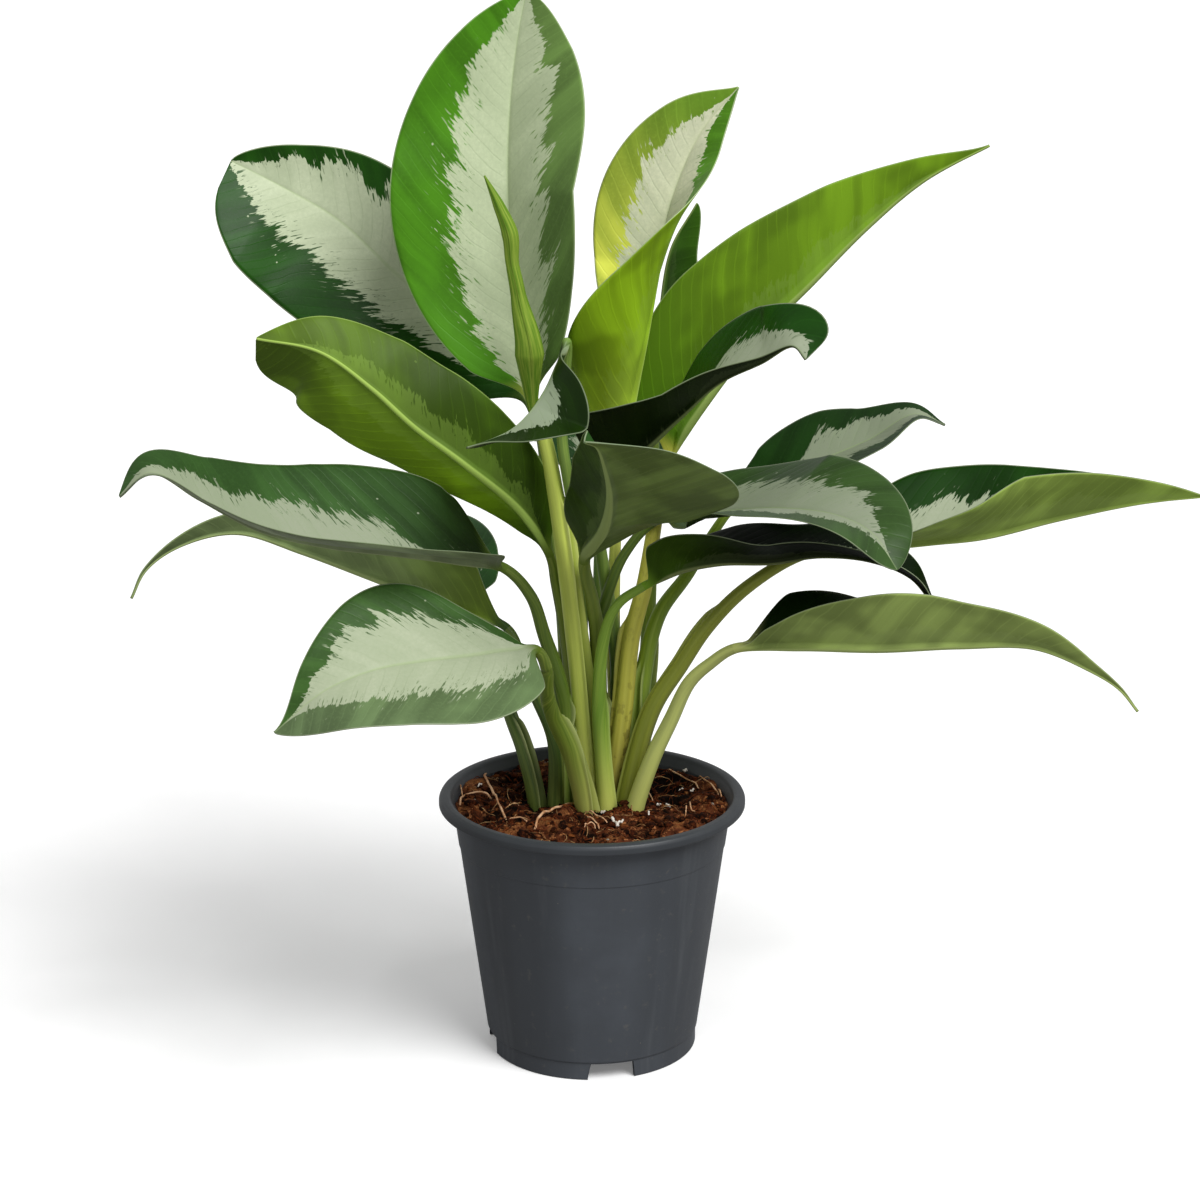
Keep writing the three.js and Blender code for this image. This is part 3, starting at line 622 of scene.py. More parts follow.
def sheath_shape(sheath, climb, around):
    """How a petiole's radius grows and shrinks round its sheath, and where its lips and hollow are."""
    turn, top = sheath
    off = np.degrees(around) - 90 - turn
    off = np.abs((off + 180) % 360 - 180)[None, :]
    climb = climb[:, None]
    opening = SHEATH_OPENING * (1 - 0.55 * smooth(0, top, climb))
    closing = 1 - smooth(top - 0.16, top, climb)
    lip = np.exp(-(((off - opening) / SHEATH_EDGE) ** 2)) * (1 - smooth(top - 0.05, top, climb))
    lip = lip * (0.7 + 0.9 * smooth(top - 0.3, top - 0.06, climb))
    hollow = np.cos(np.clip(off / opening, 0, 1) * np.pi / 2) ** 2 * closing
    return 1 + SHEATH_LIP * lip - SHEATH_DEPTH * hollow, lip, hollow


def leaf_knots(leaf):
    """The knots of a leaf from its root in the soil to its tip."""
    soil, above = np.array(leaf["stem"][:2], float)
    lean = unit(unit(above - soil) * [ROOT_LEAN, ROOT_LEAN, 1])
    return np.vstack([soil - lean * ROOT_DEPTH / lean[2], leaf["stem"], leaf["rib"]])


def petiole_radii(foot, neck, stout, climb):
    """The petiole's radius on its way up, thickened by its sheath."""
    radii = neck + (foot - neck) * (1 - climb) ** STEM_TAPER
    return radii * (1 + stout * (1 - climb) ** 0.6 * smooth(0, 0.3, 1 - climb))


def blade_sides(blade, across, up, neck, u, v):
    """The upper and the under side of a blade, with its midrib's groove and ridge."""
    normal = unit(np.cross(np.gradient(blade, axis=1), np.gradient(blade, axis=0)))
    normal *= np.sign(np.sum(normal * up[:, None], axis=-1, keepdims=True).mean())
    reach = np.abs(across)
    fade = ((1 - u) ** STEM_TAPER)[:, None]
    rib_half = np.maximum(neck * fade, 0.4) * RIB_SWELL
    ridge = np.sqrt(np.clip(1 - (reach / rib_half) ** 2, 0, 1)) * rib_half
    groove = RIB_GROOVE * np.exp(-((reach / (1 + neck * 0.4 * fade)) ** 2)) * fade**0.5
    thick = BLADE_THICKNESS / 2 * (1 - EDGE_THINNING * smooth(0.9, 1, np.abs(v))[None, :])
    return blade + normal * (thick - groove)[..., None], blade - normal * (thick + ridge)[..., None]


def leaf_rows(leaf, seed, look):
    """Rings of points from the petiole's root to the blade's tip, with what the shading needs to know."""
    curve = Curve(leaf_knots(leaf))
    base_at = (len(leaf["stem"]) + 1) / (len(curve.knots) - 1)
    t = np.linspace(0, 1, ALONG + 1)
    u = t - END_CROWDING * np.sin(2 * np.pi * t)
    u[-1] = 1
    climb = np.arange(STEM_ROWS) / STEM_ROWS
    stem, stem_length = evenly(curve, 0, base_at, climb)
    rib, rib_length = evenly(curve, base_at, 1, u)
    points = np.vstack([stem, rib])
    _, side, up = frames_along(points, leaf["face"])
    neck = leaf.get("neck", STEM_NECK)
    stem_radii = petiole_radii(leaf.get("foot", STEM_FOOT), neck, look.get("stout", STOUT), climb)
    radii = np.concatenate([stem_radii, np.full(ALONG + 1, neck)])[:, None]
    s = np.linspace(-1, 1, ACROSS + 1)
    v = np.sign(s) * np.abs(s) ** RIB_CROWDING
    blade, across = blade_sheet(leaf, u, v, rib, side[STEM_ROWS:], up[STEM_ROWS:], rib_length, seed)
    around = np.pi * (1 - (np.arange(ACROSS + 1) + 0.5) / (ACROSS + 1))
    all_climb = np.concatenate([climb, np.ones(ALONG + 1)])
    blend = smooth(0, BASE_BLEND, u)[:, None, None]
    rings, lips, hollows = [], [], []
    for angles, sheet in zip((around, -around), blade_sides(blade, across, up[STEM_ROWS:], neck, u, v)):
        swell, lip, hollow = sheath_shape(look.get("sheath", SHEATH), all_climb, angles)
        ring = swept(points, side, up, radii * swell * np.cos(angles), radii * swell * np.sin(angles))
        ring[STEM_ROWS:] = ring[STEM_ROWS:] * (1 - blend) + sheet * blend
        rings.append(ring)
        lips.append(lip)
        hollows.append(hollow)
    return {
        "upper": rings[0],
        "lower": rings[1],
        "along": np.concatenate([(climb - 1) * stem_length, u * rib_length]),
        "across": np.vstack([np.zeros((STEM_ROWS, ACROSS + 1)), across]),
        "u": np.concatenate([np.zeros(STEM_ROWS), u]),
        "v": v,
        "lips": np.concatenate(lips, axis=1),
        "hollows": np.concatenate(hollows, axis=1),
    }


def leaf_uvs(rows):
    """The UV maps: millimetres, shares of the blade, and the sheath's lips and hollow."""
    count, width = rows["upper"].shape[:2]
    both = lambda a: np.concatenate([a, a], axis=1)
    pair = lambda a, b: np.stack([a.ravel(), b.ravel()], axis=1)
    along = np.repeat(rows["along"][:, None], 2 * width, axis=1)
    share_u = np.repeat(rows["u"][:, None], 2 * width, axis=1)
    is_petiole = (np.arange(count) < STEM_ROWS)[:, None]
    share_v = both(np.where(is_petiole, np.linspace(-1, 1, width), rows["v"]))
    return {
        "blade_mm": pair(along / 100, both(rows["across"]) / 100),
        "blade_share": pair(share_u, share_v / 2 + 0.5),
        "sheath": pair(rows["lips"], rows["hollows"]),
    }


def leaf_mesh(rows):
    """Vertices, faces and the kind of each face: 0 upper, 1 under, 2 petiole."""
    upper, lower = rows["upper"], rows["lower"]
    count, width = upper.shape[:2]
    verts = np.concatenate([upper, lower], axis=1).reshape(-1, 3)
    index = np.arange(count * 2 * width).reshape(count, 2 * width)
    top, low = index[:, :width], index[:, width:]
    quads, kinds = [], []

    def strip(a, b, c, d, kind):
        quads.append(np.stack([a.ravel(), b.ravel(), c.ravel(), d.ravel()], axis=1))
        kinds.append(np.broadcast_to(kind, a.shape).ravel())

    is_stem = (np.arange(count - 1) < STEM_ROWS)[:, None]
    upper_kind = np.where(is_stem, 2, 0)
    strip(top[:-1, :-1], top[:-1, 1:], top[1:, 1:], top[1:, :-1], upper_kind)
    strip(low[:-1, 1:], low[:-1, :-1], low[1:, :-1], low[1:, 1:], np.where(is_stem, 2, 1))
    strip(top[1:, :1], low[1:, :1], low[:-1, :1], top[:-1, :1], upper_kind)
    strip(top[:-1, -1:], low[:-1, -1:], low[1:, -1:], top[1:, -1:], upper_kind)
    strip(top[:1, :-1], low[:1, :-1], low[:1, 1:], top[:1, 1:], 2)
    strip(top[-1:, :-1], top[-1:, 1:], low[-1:, 1:], low[-1:, :-1], 0)
    return verts, np.concatenate(quads), np.concatenate(kinds)


# ---------------------------------------------------------------- material nodes


class Wire:
    """What comes out of a node. Sums and products of wires are made by more nodes."""

    def __init__(self, net, socket):
        self.net = net
        self.socket = socket

    def __abs__(self):
        return self.net.math("ABSOLUTE", self)

    def __add__(self, other):
        return self.net.math("ADD", self, other)

    def __sub__(self, other):
        return self.net.math("SUBTRACT", self, other)

    def __rsub__(self, other):
        return self.net.math("SUBTRACT", other, self)

    def __mul__(self, other):
        return self.net.math("MULTIPLY", self, other)

    def __truediv__(self, other):
        return self.net.math("DIVIDE", self, other)


class Net:
    """Short ways to add and join the nodes of one tree."""

    def __init__(self, tree):
        self.tree = tree

    def add(self, kind, values=None, **props):
        node = self.tree.nodes.new(kind)
        for key, value in props.items():
            setattr(node, key, value)
        for key, value in (values or {}).items():
            self.put(node.inputs[key], value)
        return node

    def get(self, kind, output=0, values=None, **props):
        """One output of a new node."""
        return Wire(self, self.add(kind, values, **props).outputs[output])

    def put(self, socket, value):
        if isinstance(value, Wire):
            self.tree.links.new(value.socket, socket)
        else:
            socket.default_value = value

    def math(self, operation, *values, clamp=False):
        return self.get("ShaderNodeMath", 0, dict(enumerate(values)), operation=operation, use_clamp=clamp)

    def step(self, x, low, high, start=0.0, end=1.0):
        """Smoothly from start to end while x goes from low to high."""
        values = {"Value": x, "From Min": low, "From Max": high, "To Min": start, "To Max": end}
        return self.get("ShaderNodeMapRange", 0, values, interpolation_type="SMOOTHSTEP")

    def fall(self, x, low, high):
        """Smoothly from 1 to 0 while x goes from low to high."""
        return self.step(x, low, high, 1.0, 0.0)

    def place(self, x=0.0, y=0.0, z=0.0):
        return self.get("ShaderNodeCombineXYZ", 0, {"X": x, "Y": y, "Z": z})

    def noise(self, vector, scale=1.0, detail=2.0, rough=0.5):
        values = {"Vector": vector, "Scale": scale, "Detail": detail, "Roughness": rough}
        return self.get("ShaderNodeTexNoise", "Fac", values)

    def cells(self, vector, scale=1.0, output="Distance"):
        return self.get("ShaderNodeTexVoronoi", output, {"Vector": vector, "Scale": scale})

    def mix(self, share, a, b):
        """Colour a with a share of colour b."""
        return self.get("ShaderNodeMix", 2, {0: share, 6: a, 7: b}, data_type="RGBA")

    def layers(self, base, *coats):
        """A colour with more colours over it in turn, each by its share."""
        for share, colour in coats:
            base = self.mix(share, base, colour)
        return base

    def split(self, vector):
        outputs = self.add("ShaderNodeSeparateXYZ", {"Vector": vector}).outputs
        return [Wire(self, output) for output in outputs]

    def uv(self, name):
        return self.split(self.get("ShaderNodeUVMap", uv_map=name))

    def object_place(self):
        return self.get("ShaderNodeTexCoord", "Object")

    def bump(self, height, distance, strength=1.0):
        return self.get("ShaderNodeBump", 0, {"Height": height, "Distance": distance, "Strength": strength})

    def use(self, group, values):
        """The outputs of a node group, by name."""
        outputs = self.add("ShaderNodeGroup", values, node_tree=group).outputs
        return {output.name: Wire(self, output) for output in outputs}


class Skin(Net):
    """The nodes of one material round its shader."""

    def __init__(self, name):
        self.material = bpy.data.materials.new(name)
        self.material.use_nodes = True
        super().__init__(self.material.node_tree)
        self.shader = self.tree.nodes["Principled BSDF"]

    def finish(self, colour, rough, normal, gloss):
        for key, value in (("Base Color", colour), ("Roughness", rough), ("Normal", normal)):
            self.put(self.shader.inputs[key], value)
        self.shader.inputs["Specular IOR Level"].default_value = gloss
        return self.material


def node_group(name, inputs, outputs, build):
    """A shader node group, from {input name: default} and the names of its outputs."""
    group = bpy.data.node_groups.new(name, "ShaderNodeTree")
    for key, value in inputs.items():
        kind = "NodeSocketColor" if isinstance(value, tuple) else "NodeSocketFloat"
        group.interface.new_socket(key, in_out="INPUT", socket_type=kind).default_value = value
    for key in outputs:
        kind = "NodeSocketColor" if key == "Colour" else "NodeSocketFloat"
        group.interface.new_socket(key, in_out="OUTPUT", socket_type=kind)
    net = Net(group)
    source = net.add("NodeGroupInput").outputs
    given = {output.name: Wire(net, output) for output in source if output.name}
    sink = net.add("NodeGroupOutput").inputs
    for key, value in build(net, given).items():
        net.put(sink[key], value)
    return group


ANY_COLOUR = (0.5, 0.5, 0.5, 1.0)


def linear(code):
    """A six-figure colour as the linear values that materials take."""
    parts = [int(code[i : i + 2], 16) / 255 for i in (0, 2, 4)]
    return [p / 12.92 if p <= 0.04045 else ((p + 0.055) / 1.055) ** 2.4 for p in parts] + [1.0]


def toward(code, other, share):
    """A colour part of the way from one to another."""
    return [p + (q - p) * share for p, q in zip(linear(code), linear(other))]


def shade(code, factor):
    """A colour made darker or lighter."""
    return [min(1.0, part * factor) for part in linear(code)[:3]] + [1.0]


# ---------------------------------------------------------------- leaf materials


def blade_places(net):
    """Wires: mm along the midrib, mm across it (signed), share along, share across (signed)."""
    along, across, _ = net.uv("blade_mm")
    share_along, share_across, _ = net.uv("blade_share")
    return along * 100.0, across * 100.0, share_along, share_across * 2.0 - 1.0


def blade_spot(net, seed):
    """Where a place lies on the blade, and which side vein it lies on."""
    along, across, u, v = blade_places(net)
    reach = abs(across)
    is_right = net.math("GREATER_THAN", v, 0.0)
    shift = is_right * RIGHT_SHIFT + seed
    drift = net.noise(net.place(along * 0.03, across * 0.03, shift))
    vein = along - reach * VEIN_SLANT - reach * reach * VEIN_BEND + (drift - 0.5) * VEIN_DRIFT
    half_share = abs(v)
    return SimpleNamespace(
        along=along, across=across, u=u, reach=reach, half_share=half_share, is_right=is_right,
        shift=shift, drift=drift, vein=vein,
    )


def silver_field(net, at, given):
    """Above 0 in the silver: its share of the half, cut up along the veins, less the place's own share."""
    wide = given["Left"] * (1.0 - at.is_right) + given["Right"] * at.is_right
    starts = net.step(at.u - given["Start"], -0.14, 0.12)
    ends = net.fall(at.u - given["End"], -0.3, 0.03)
    lobes = net.noise(net.place(at.vein * 0.06, at.shift))
    steps = net.split(net.cells(net.place(at.vein * 0.3, at.shift, 7.0), 1.0, "Color"))[0]
    teeth = net.noise(net.place(at.vein * 0.42, at.shift, 3.0), rough=0.7)
    jag = (lobes - 0.5) * LOBES + (steps - 0.5) * STEPS + (teeth - 0.5) * TEETH + 0.9
    flame = net.noise(net.place(at.vein * 0.5, at.reach * 0.1, at.shift), detail=3.0, rough=0.65)
    flames = (flame - 0.5) * FLAMES * net.step(at.half_share, 0.0, 0.35)
    return wide * starts * ends * jag - at.half_share + flames


def silver_mask(net, at, given):
    """The silver, with green islands in it near its edge, and silver flecks and specks outside."""
    field = silver_field(net, at, given)
    inside = net.step(field, -0.006, 0.014)
    streak = net.noise(net.place(at.vein * 0.62, at.reach * 0.16, at.shift), detail=1.0)
    near_edge = net.fall(abs(field - 0.07), 0.03, 0.14)
    islands = net.step(streak, 0.6, 0.63) * near_edge
    silver = net.math("SUBTRACT", inside, islands * inside * 0.9, clamp=True)
    flecks = net.step(streak, 0.63, 0.66) * net.step(field, -0.2, -0.03) * net.step(at.drift, 0.45, 0.55)
    dots = net.cells(net.place(at.along * 0.12, at.across * 0.14, given["Seed"]))
    patches = net.noise(net.place(at.along * 0.11, at.across * 0.11, at.shift), detail=1.0)
    outer = net.fall(at.half_share, 0.85, 0.95)
    specks = net.fall(dots, 0.07, 0.1) * net.step(patches, 0.56, 0.6) * outer
    return net.math("MAXIMUM", silver, net.math("MAXIMUM", flecks, specks * 0.8))


def build_feather(net, given):
    """The jagged silver feather of a variegated blade, its side veins, its rim and its midrib."""
    at = blade_spot(net, given["Seed"])
    rows = net.math("PINGPONG", at.vein * (1 / VEIN_SPACING), 0.5)
    to_margin = at.reach / net.math("MAXIMUM", at.half_share, 0.02) - at.reach
    rib_wide = net.step(at.u, 0.0, 1.0, 1.7, 0.5)
    vein_line = net.fall(rows, 0.0, 0.11) * net.step(at.reach, 1.0, 5.0)
    return {
        "Silver": silver_mask(net, at, given),
        "Vein": vein_line * net.step(at.drift, 0.25, 0.6),
        "Rim": net.fall(to_margin, 0.3, 0.8) * net.step(at.half_share, 0.6, 0.75),
        "Rib": net.fall(at.reach / rib_wide, 0.5, 1.3),
        "Mottle": net.noise(net.place(at.along * 0.5, at.across * 0.5, at.shift), detail=5.0, rough=0.7),
        "Bands": net.noise(net.place(at.vein * 0.07, at.reach * 0.012, at.shift), detail=1.5),
        "Clouds": net.noise(net.place(at.along * 0.022, at.across * 0.03, at.shift)),
        "Right": at.is_right,
        "Foot": net.step(at.u, 0.02, 0.42, 0.9, 0.0),
        "Tip": net.step(at.u, 0.4, 0.95, 0.0, 0.9),
        "Base": net.fall(at.u, 0.0, 0.07),
    }


FEATHER = node_group(
    "silver_feather",
    {"Left": 0.5, "Right": 0.5, "Start": 0.1, "End": 0.95, "Seed": 0.0},
    ("Silver", "Vein", "Rim", "Rib", "Mottle", "Bands", "Clouds", "Right", "Foot", "Tip", "Base"),
    build_feather,
)


def feather_in(net, look, seed):
    """The feather's masks in one leaf's material."""
    left, right, start, end = look["silver"]
    return net.use(FEATHER, {"Left": left, "Right": right, "Start": start, "End": end, "Seed": seed})


def coat_group(name, bands, clouds, mottle, vein_share):
    """A blade's colour: soft bands along the side veins, clouds, a fine mottle and the veins."""
    masks = {"Bands": 0.5, "Clouds": 0.5, "Mottle": 0.5, "Vein": 0.0}
    colours = dict.fromkeys(("Deep", "Light", "Cloud", "Fleck", "Line"), ANY_COLOUR)

    def build(net, given):
        colour = net.mix(net.step(given["Bands"], *bands), given["Deep"], given["Light"])
        if clouds:
            colour = net.mix(net.step(given["Clouds"], *clouds), colour, given["Cloud"])
        if mottle:
            colour = net.mix(net.step(given["Mottle"], *mottle), colour, given["Fleck"])
        return {"Colour": net.mix(given["Vein"] * vein_share, colour, given["Line"])}

    return node_group(name, {**masks, **colours}, ("Colour",), build)


# For each kind of colour: its group, its plain colour, and what its group's colours are for a given one.
COATS = {
    "green": (
        coat_group("green_coat", (0.34, 0.66), (0.4, 0.68, 0.0, 0.6), (0.45, 0.75, 0.0, 0.3), 0.25),
        "2f5a24",
        lambda c: {
            "Deep": shade(c, 0.74), "Light": shade(c, 1.16), "Cloud": shade(c, 0.6),
            "Fleck": shade(c, 1.35), "Line": shade(c, 1.5),
        },
    ),
    "pale": (
        coat_group("silver_coat", (0.35, 0.65), None, (0.35, 0.7, 0.35, 0.0), 0.3),
        "bfcaad",
        lambda c: {
            "Deep": toward(c, "7d9068", 0.2), "Light": linear(c), "Fleck": toward(c, "8a9c76", 0.6),
            "Line": toward(c, "7f9468", 0.6),
        },
    ),
    "under": (
        coat_group("under_coat", (0.35, 0.65), (0.42, 0.6, 0.0, 0.8), None, 0.2),
        "5f7f38",
        lambda c: {
            "Deep": shade(c, 0.8), "Light": shade(c, 1.15), "Cloud": shade(c, 0.52), "Line": shade(c, 1.5),
        },
    ),
}


def coat(net, feather, look, key):
    """A blade's colour: its own on each half, and another one towards its foot or its tip."""
    group, plain, tones = COATS[key]
    masks = {mask: feather[mask] for mask in ("Bands", "Clouds", "Mottle", "Vein")}
    paint = lambda code: net.use(group, {**masks, **tones(code)})["Colour"]
    colour = look.get(key, plain)
    left, right = look.get(key + "_left", colour), look.get(key + "_right", colour)
    base = paint(left)
    if left != right:
        base = net.mix(feather["Right"], base, paint(right))
    for end in ("Foot", "Tip"):
        other = look.get(f"{key}_{end.lower()}")
        if other:
            base = net.mix(feather[end], base, paint(other))
    return base


def upper_material(name, look, seed):
    """Green with the silver over it, a pale midrib and a thin pale rim."""
    net = Skin(f"{name}_upper")
    feather = feather_in(net, look, seed)
    silver = look.get("pale", COATS["pale"][1])
    base = net.layers(
        coat(net, feather, look, "green"),
        (feather["Silver"], coat(net, feather, look, "pale")),
        (feather["Rib"] * 0.45, toward(silver, "8fae60", 0.5)),
        (feather["Rim"] * 0.6, toward(silver, "9fb080", 0.4)),
        (feather["Base"], linear(look.get("stalk", STALK))),
    )
    rough = feather["Mottle"] * 0.16 + feather["Silver"] * 0.06 + 0.28
    height = feather["Mottle"] * 0.3 + feather["Vein"] * -0.5
    return net.finish(base, rough, net.bump(height, LEAF_BUMP, 0.5), look.get("gloss", LEAF_GLOSS))


def under_material(name, look, seed):
    """The duller underside, with raised pale veins."""
    net = Skin(f"{name}_under")
    feather = feather_in(net, look, seed)
    under = look.get("under", COATS["under"][1])
    base = net.layers(
        coat(net, feather, look, "under"),
        # Painted light: the silver shows faintly lighter where light shines through the blade.
        (feather["Silver"] * 0.2, toward(under, "b9c890", 0.3)),
        (feather["Rib"] * 0.8, toward(under, "dcea9c", 0.4)),
        (feather["Rim"] * 0.5, toward(under, "c8d4a0", 0.5)),
        (feather["Base"], linear(look.get("stalk", STALK))),
    )
    height = feather["Mottle"] * 0.25 + feather["Vein"] * 0.5
    rough = feather["Mottle"] * 0.15 + 0.4
    return net.finish(base, rough, net.bump(height, LEAF_BUMP, 0.5), look.get("gloss", LEAF_GLOSS))


def build_stalk(net, given):
    """Long soft streaks, another tone at the foot, pale lips and painted shade darkening the hollow where
    the sheath opens.
    """
    along, _, _, ring = blade_places(net)
    lip, hollow, _ = net.uv("sheath")
    seed = given["Seed"]
    climb = along + given["Length"]
    streaks = net.noise(net.place(along * 0.008, ring * 3.0, seed), detail=3.0, rough=0.6)
    bands = net.noise(net.place(along * 0.01, ring * 1.2, seed + 5.0), detail=1.0)
    patches = net.noise(net.place(along * 0.11, ring * 1.6, seed), detail=3.0, rough=0.6)
    is_brown = net.math("GREATER_THAN", given["Brown"], 0.0)
    stain = net.step(patches, 0.72 - given["Brown"] * 0.3, 0.64) * is_brown
    base = net.layers(
        net.mix(net.step(streaks, 0.3, 0.7), given["Dark"], given["Light"]),
        (net.step(bands, 0.42, 0.66, 0.0, 0.5), given["Band"]),
        (net.fall(climb, 0.0, FOOT_REACH) * given["Foot share"], given["Foot"]),
        # Painted shade in the sheath's recessed groove.
        (hollow * 0.55, given["Hollow"]),
        (lip * 0.5, given["Lip"]),
        (stain * net.step(climb, 0.0, STAIN_REACH, 0.9, 0.15), linear("4c3014")),
    )
    return {"Colour": base, "Streaks": streaks}


STALK_COLOURS = ("Dark", "Light", "Band", "Foot", "Hollow", "Lip")
STALK_VALUES = {"Seed": 0.0, "Length": 100.0, "Foot share": 0.4, "Brown": 0.0}
STALK_SKIN = node_group(
    "petiole_skin",
    {**dict.fromkeys(STALK_COLOURS, ANY_COLOUR), **STALK_VALUES},
    ("Colour", "Streaks"),
    build_stalk,
)


def stalk_material(name, look, seed, length):
    net = Skin(f"{name}_stalk")
    stalk = look.get("stalk", STALK)
    skin = net.use(STALK_SKIN, {
        "Dark": toward(stalk, "3a5814", 0.2),
        "Light": toward(stalk, "e0ec74", 0.2),
        "Band": toward(stalk, "2f4a18", 0.45),
        "Foot": linear(look.get("foot", FOOT)),
        "Foot share": 0.95 if "foot" in look else 0.4,
        "Hollow": toward(stalk, "2c3c14", 0.7),
        "Lip": toward(stalk, "e8f0a4", 0.6),
        "Brown": look.get("brown", 0.0),
        "Seed": seed,
        "Length": length,
    })
    streaks = skin["Streaks"]
    return net.finish(skin["Colour"], streaks * 0.2 + 0.28, net.bump(streaks, 0.0003, 0.4), STALK_GLOSS)


def spear_material():
    """A young furled leaf: yellow-green with long veins, greener towards its tip."""
    net = Skin("spear_skin")
    along, around, _ = net.uv("blade_mm")
    streaks = net.noise(net.place(along * 2.0, around * 9.0, 4.0), detail=4.0, rough=0.7)
    base = net.mix(net.step(streaks, 0.3, 0.7), linear("4c7c14"), linear("a0b848"))
    base = net.mix(net.step(along, 0.9, 1.9, 0.0, 0.35), base, linear("4a7a1c"))
    return net.finish(base, streaks * 0.2 + 0.3, net.bump(streaks, 0.0003, 0.5), LEAF_GLOSS)


# ---------------------------------------------------------------- pot, soil and floor materials


def pot_material():
    """Anthracite moulded plastic: fine grain, faint scuffs, dust, a few specks of splashed soil and painted
    reflection bands of sheen round the wall.
    """
    net = Skin("pot_plastic")
    place = net.object_place()
    grain = net.noise(place, 2600.0, 3.0, 0.6)
    clouds = net.noise(place, 22.0, 4.0, 0.55)
    dust = net.noise(place, 140.0, 5.0, 0.7)
    across, back, height = net.split(place)
    # Painted reflection: lighter bands of sheen round the wall, darker plastic between them.
    turn = net.math("ARCTAN2", across - AXIS_X, AXIS_Y - back)
    sheen = net.math("COSINE", (turn - SHEEN_TURN) * SHEEN_COUNT)
    bands = sheen * 0.22 + net.noise(net.place(turn * 1.7, height * 1.5, 3.3))
    streaks = net.noise(net.place(turn * 6.0, height * 7.0, 1.7), detail=4.0, rough=0.6)
    rare = net.step(net.noise(place, 60.0, 1.0), 0.66, 0.7)
    specks = net.fall(net.cells(place, 300.0), 0.06, 0.1)
    plastic = net.mix(net.step(clouds, 0.3, 0.7), linear(POT_COLOUR), linear("53585f"))
    base = net.layers(
        net.mix(net.step(bands, 0.25, 0.75), toward(POT_COLOUR, "1c1e20", 0.3), plastic),
        (net.step(streaks, 0.5, 0.8, 0.0, 0.3), linear("686c70")),
        (net.step(dust, 0.58, 0.75, 0.0, 0.3), linear("757168")),
        # Painted shade: the rim, from 140.5 mm up, is darker than the wall.
        (net.step(height, 0.1405, 0.142, 0.0, 0.7), linear("303336")),
        (specks * rare * 0.7, linear("8a8478")),
    )
    rough = clouds * 0.12 + dust * 0.14 + 0.3
    return net.finish(base, rough, net.bump(grain * 0.4 + dust, 0.00012, 0.6), POT_GLOSS)


def build_soil_grain(net, given):
    """Fibrous soil with tan crumbs. Where it is toned, a tone of 1 is a raised clod with a painted highlight
    and 0 a hollow in painted shade.
    """
    place = net.object_place()
    scale, tone, toned = given["Scale"], given["Tone"], given["Toned"]
    coarse = net.noise(place, scale * 130.0, 5.0, 0.65)
    fine = net.noise(place, scale * 700.0, 5.0, 0.75)
    tint = net.split(net.cells(place, scale * 420.0, "Color"))[0]
    # Painted light: the tone reddens and lightens raised clods and darkens hollows as shade.
    redness = coarse + toned * (tone * 0.6 - coarse * 0.4 - 0.1)
    tan = net.step(tint, 0.72, 0.9) * net.step(fine, 0.42, 0.6) * net.step(redness, 0.4, 0.6)
    # Painted highlight: pale orange on the highest clods.
    clod_highlight = net.step(tone, 0.66, 0.92) * net.step(fine, 0.4, 0.58, 0.15, 0.75)
    base = net.layers(
        net.mix(net.step(redness, 0.4, 0.66), given["Dark"], given["Middle"]),
        (tan, given["Light"]),
        (clod_highlight * toned, linear("a06a3c")),
        (net.step(fine, 0.3, 0.48, 0.8, 0.0), linear("120703")),
    )
    return {"Colour": base, "Fine": fine, "Height": fine + coarse}


SOIL_GRAIN = node_group(
    "soil_grain",
    {**dict.fromkeys(("Dark", "Middle", "Light"), ANY_COLOUR), "Scale": 1.0, "Tone": 0.5, "Toned": 0.0},
    ("Colour", "Fine", "Height"),
    build_soil_grain,
)


def soil_material(name, dark, middle, light, scale=1.0, toned=False):
    """Soil of three colours. The filling is toned by its UV map, and small lumps have one tone."""
    net = Skin(name)
    values = {"Dark": linear(dark), "Middle": linear(middle), "Light": linear(light), "Scale": scale}
    if toned:
        values.update({"Tone": net.uv("tone")[0], "Toned": 1.0})
    grain = net.use(SOIL_GRAIN, values)
    rough = grain["Fine"] * 0.15 + 0.75
    return net.finish(grain["Colour"], rough, net.bump(grain["Height"], 0.0016), SOIL_GLOSS)


def build_fibre_grain(net, given):
    """Lighter and darker stretches along roots and fibres."""
    place = net.object_place()
    fine = net.noise(place, 1500.0, 3.0, 0.6)
    base = net.mix(net.step(net.noise(place, 240.0, 4.0, 0.6), 0.35, 0.65), given["Dark"], given["Light"])
    return {"Colour": net.mix(net.step(fine, 0.55, 0.7, 0.0, 0.5), base, given["Dark"]), "Fine": fine}


FIBRE_GRAIN = node_group(
    "fibre_grain", {"Dark": ANY_COLOUR, "Light": ANY_COLOUR}, ("Colour", "Fine"), build_fibre_grain
)


def fibre_material(name, dark, light):
    net = Skin(name)
    grain = net.use(FIBRE_GRAIN, {"Dark": linear(dark), "Light": linear(light)})
    rough = grain["Fine"] * 0.2 + 0.65
    return net.finish(grain["Colour"], rough, net.bump(grain["Fine"], 0.0003, 0.7), SOIL_GLOSS)


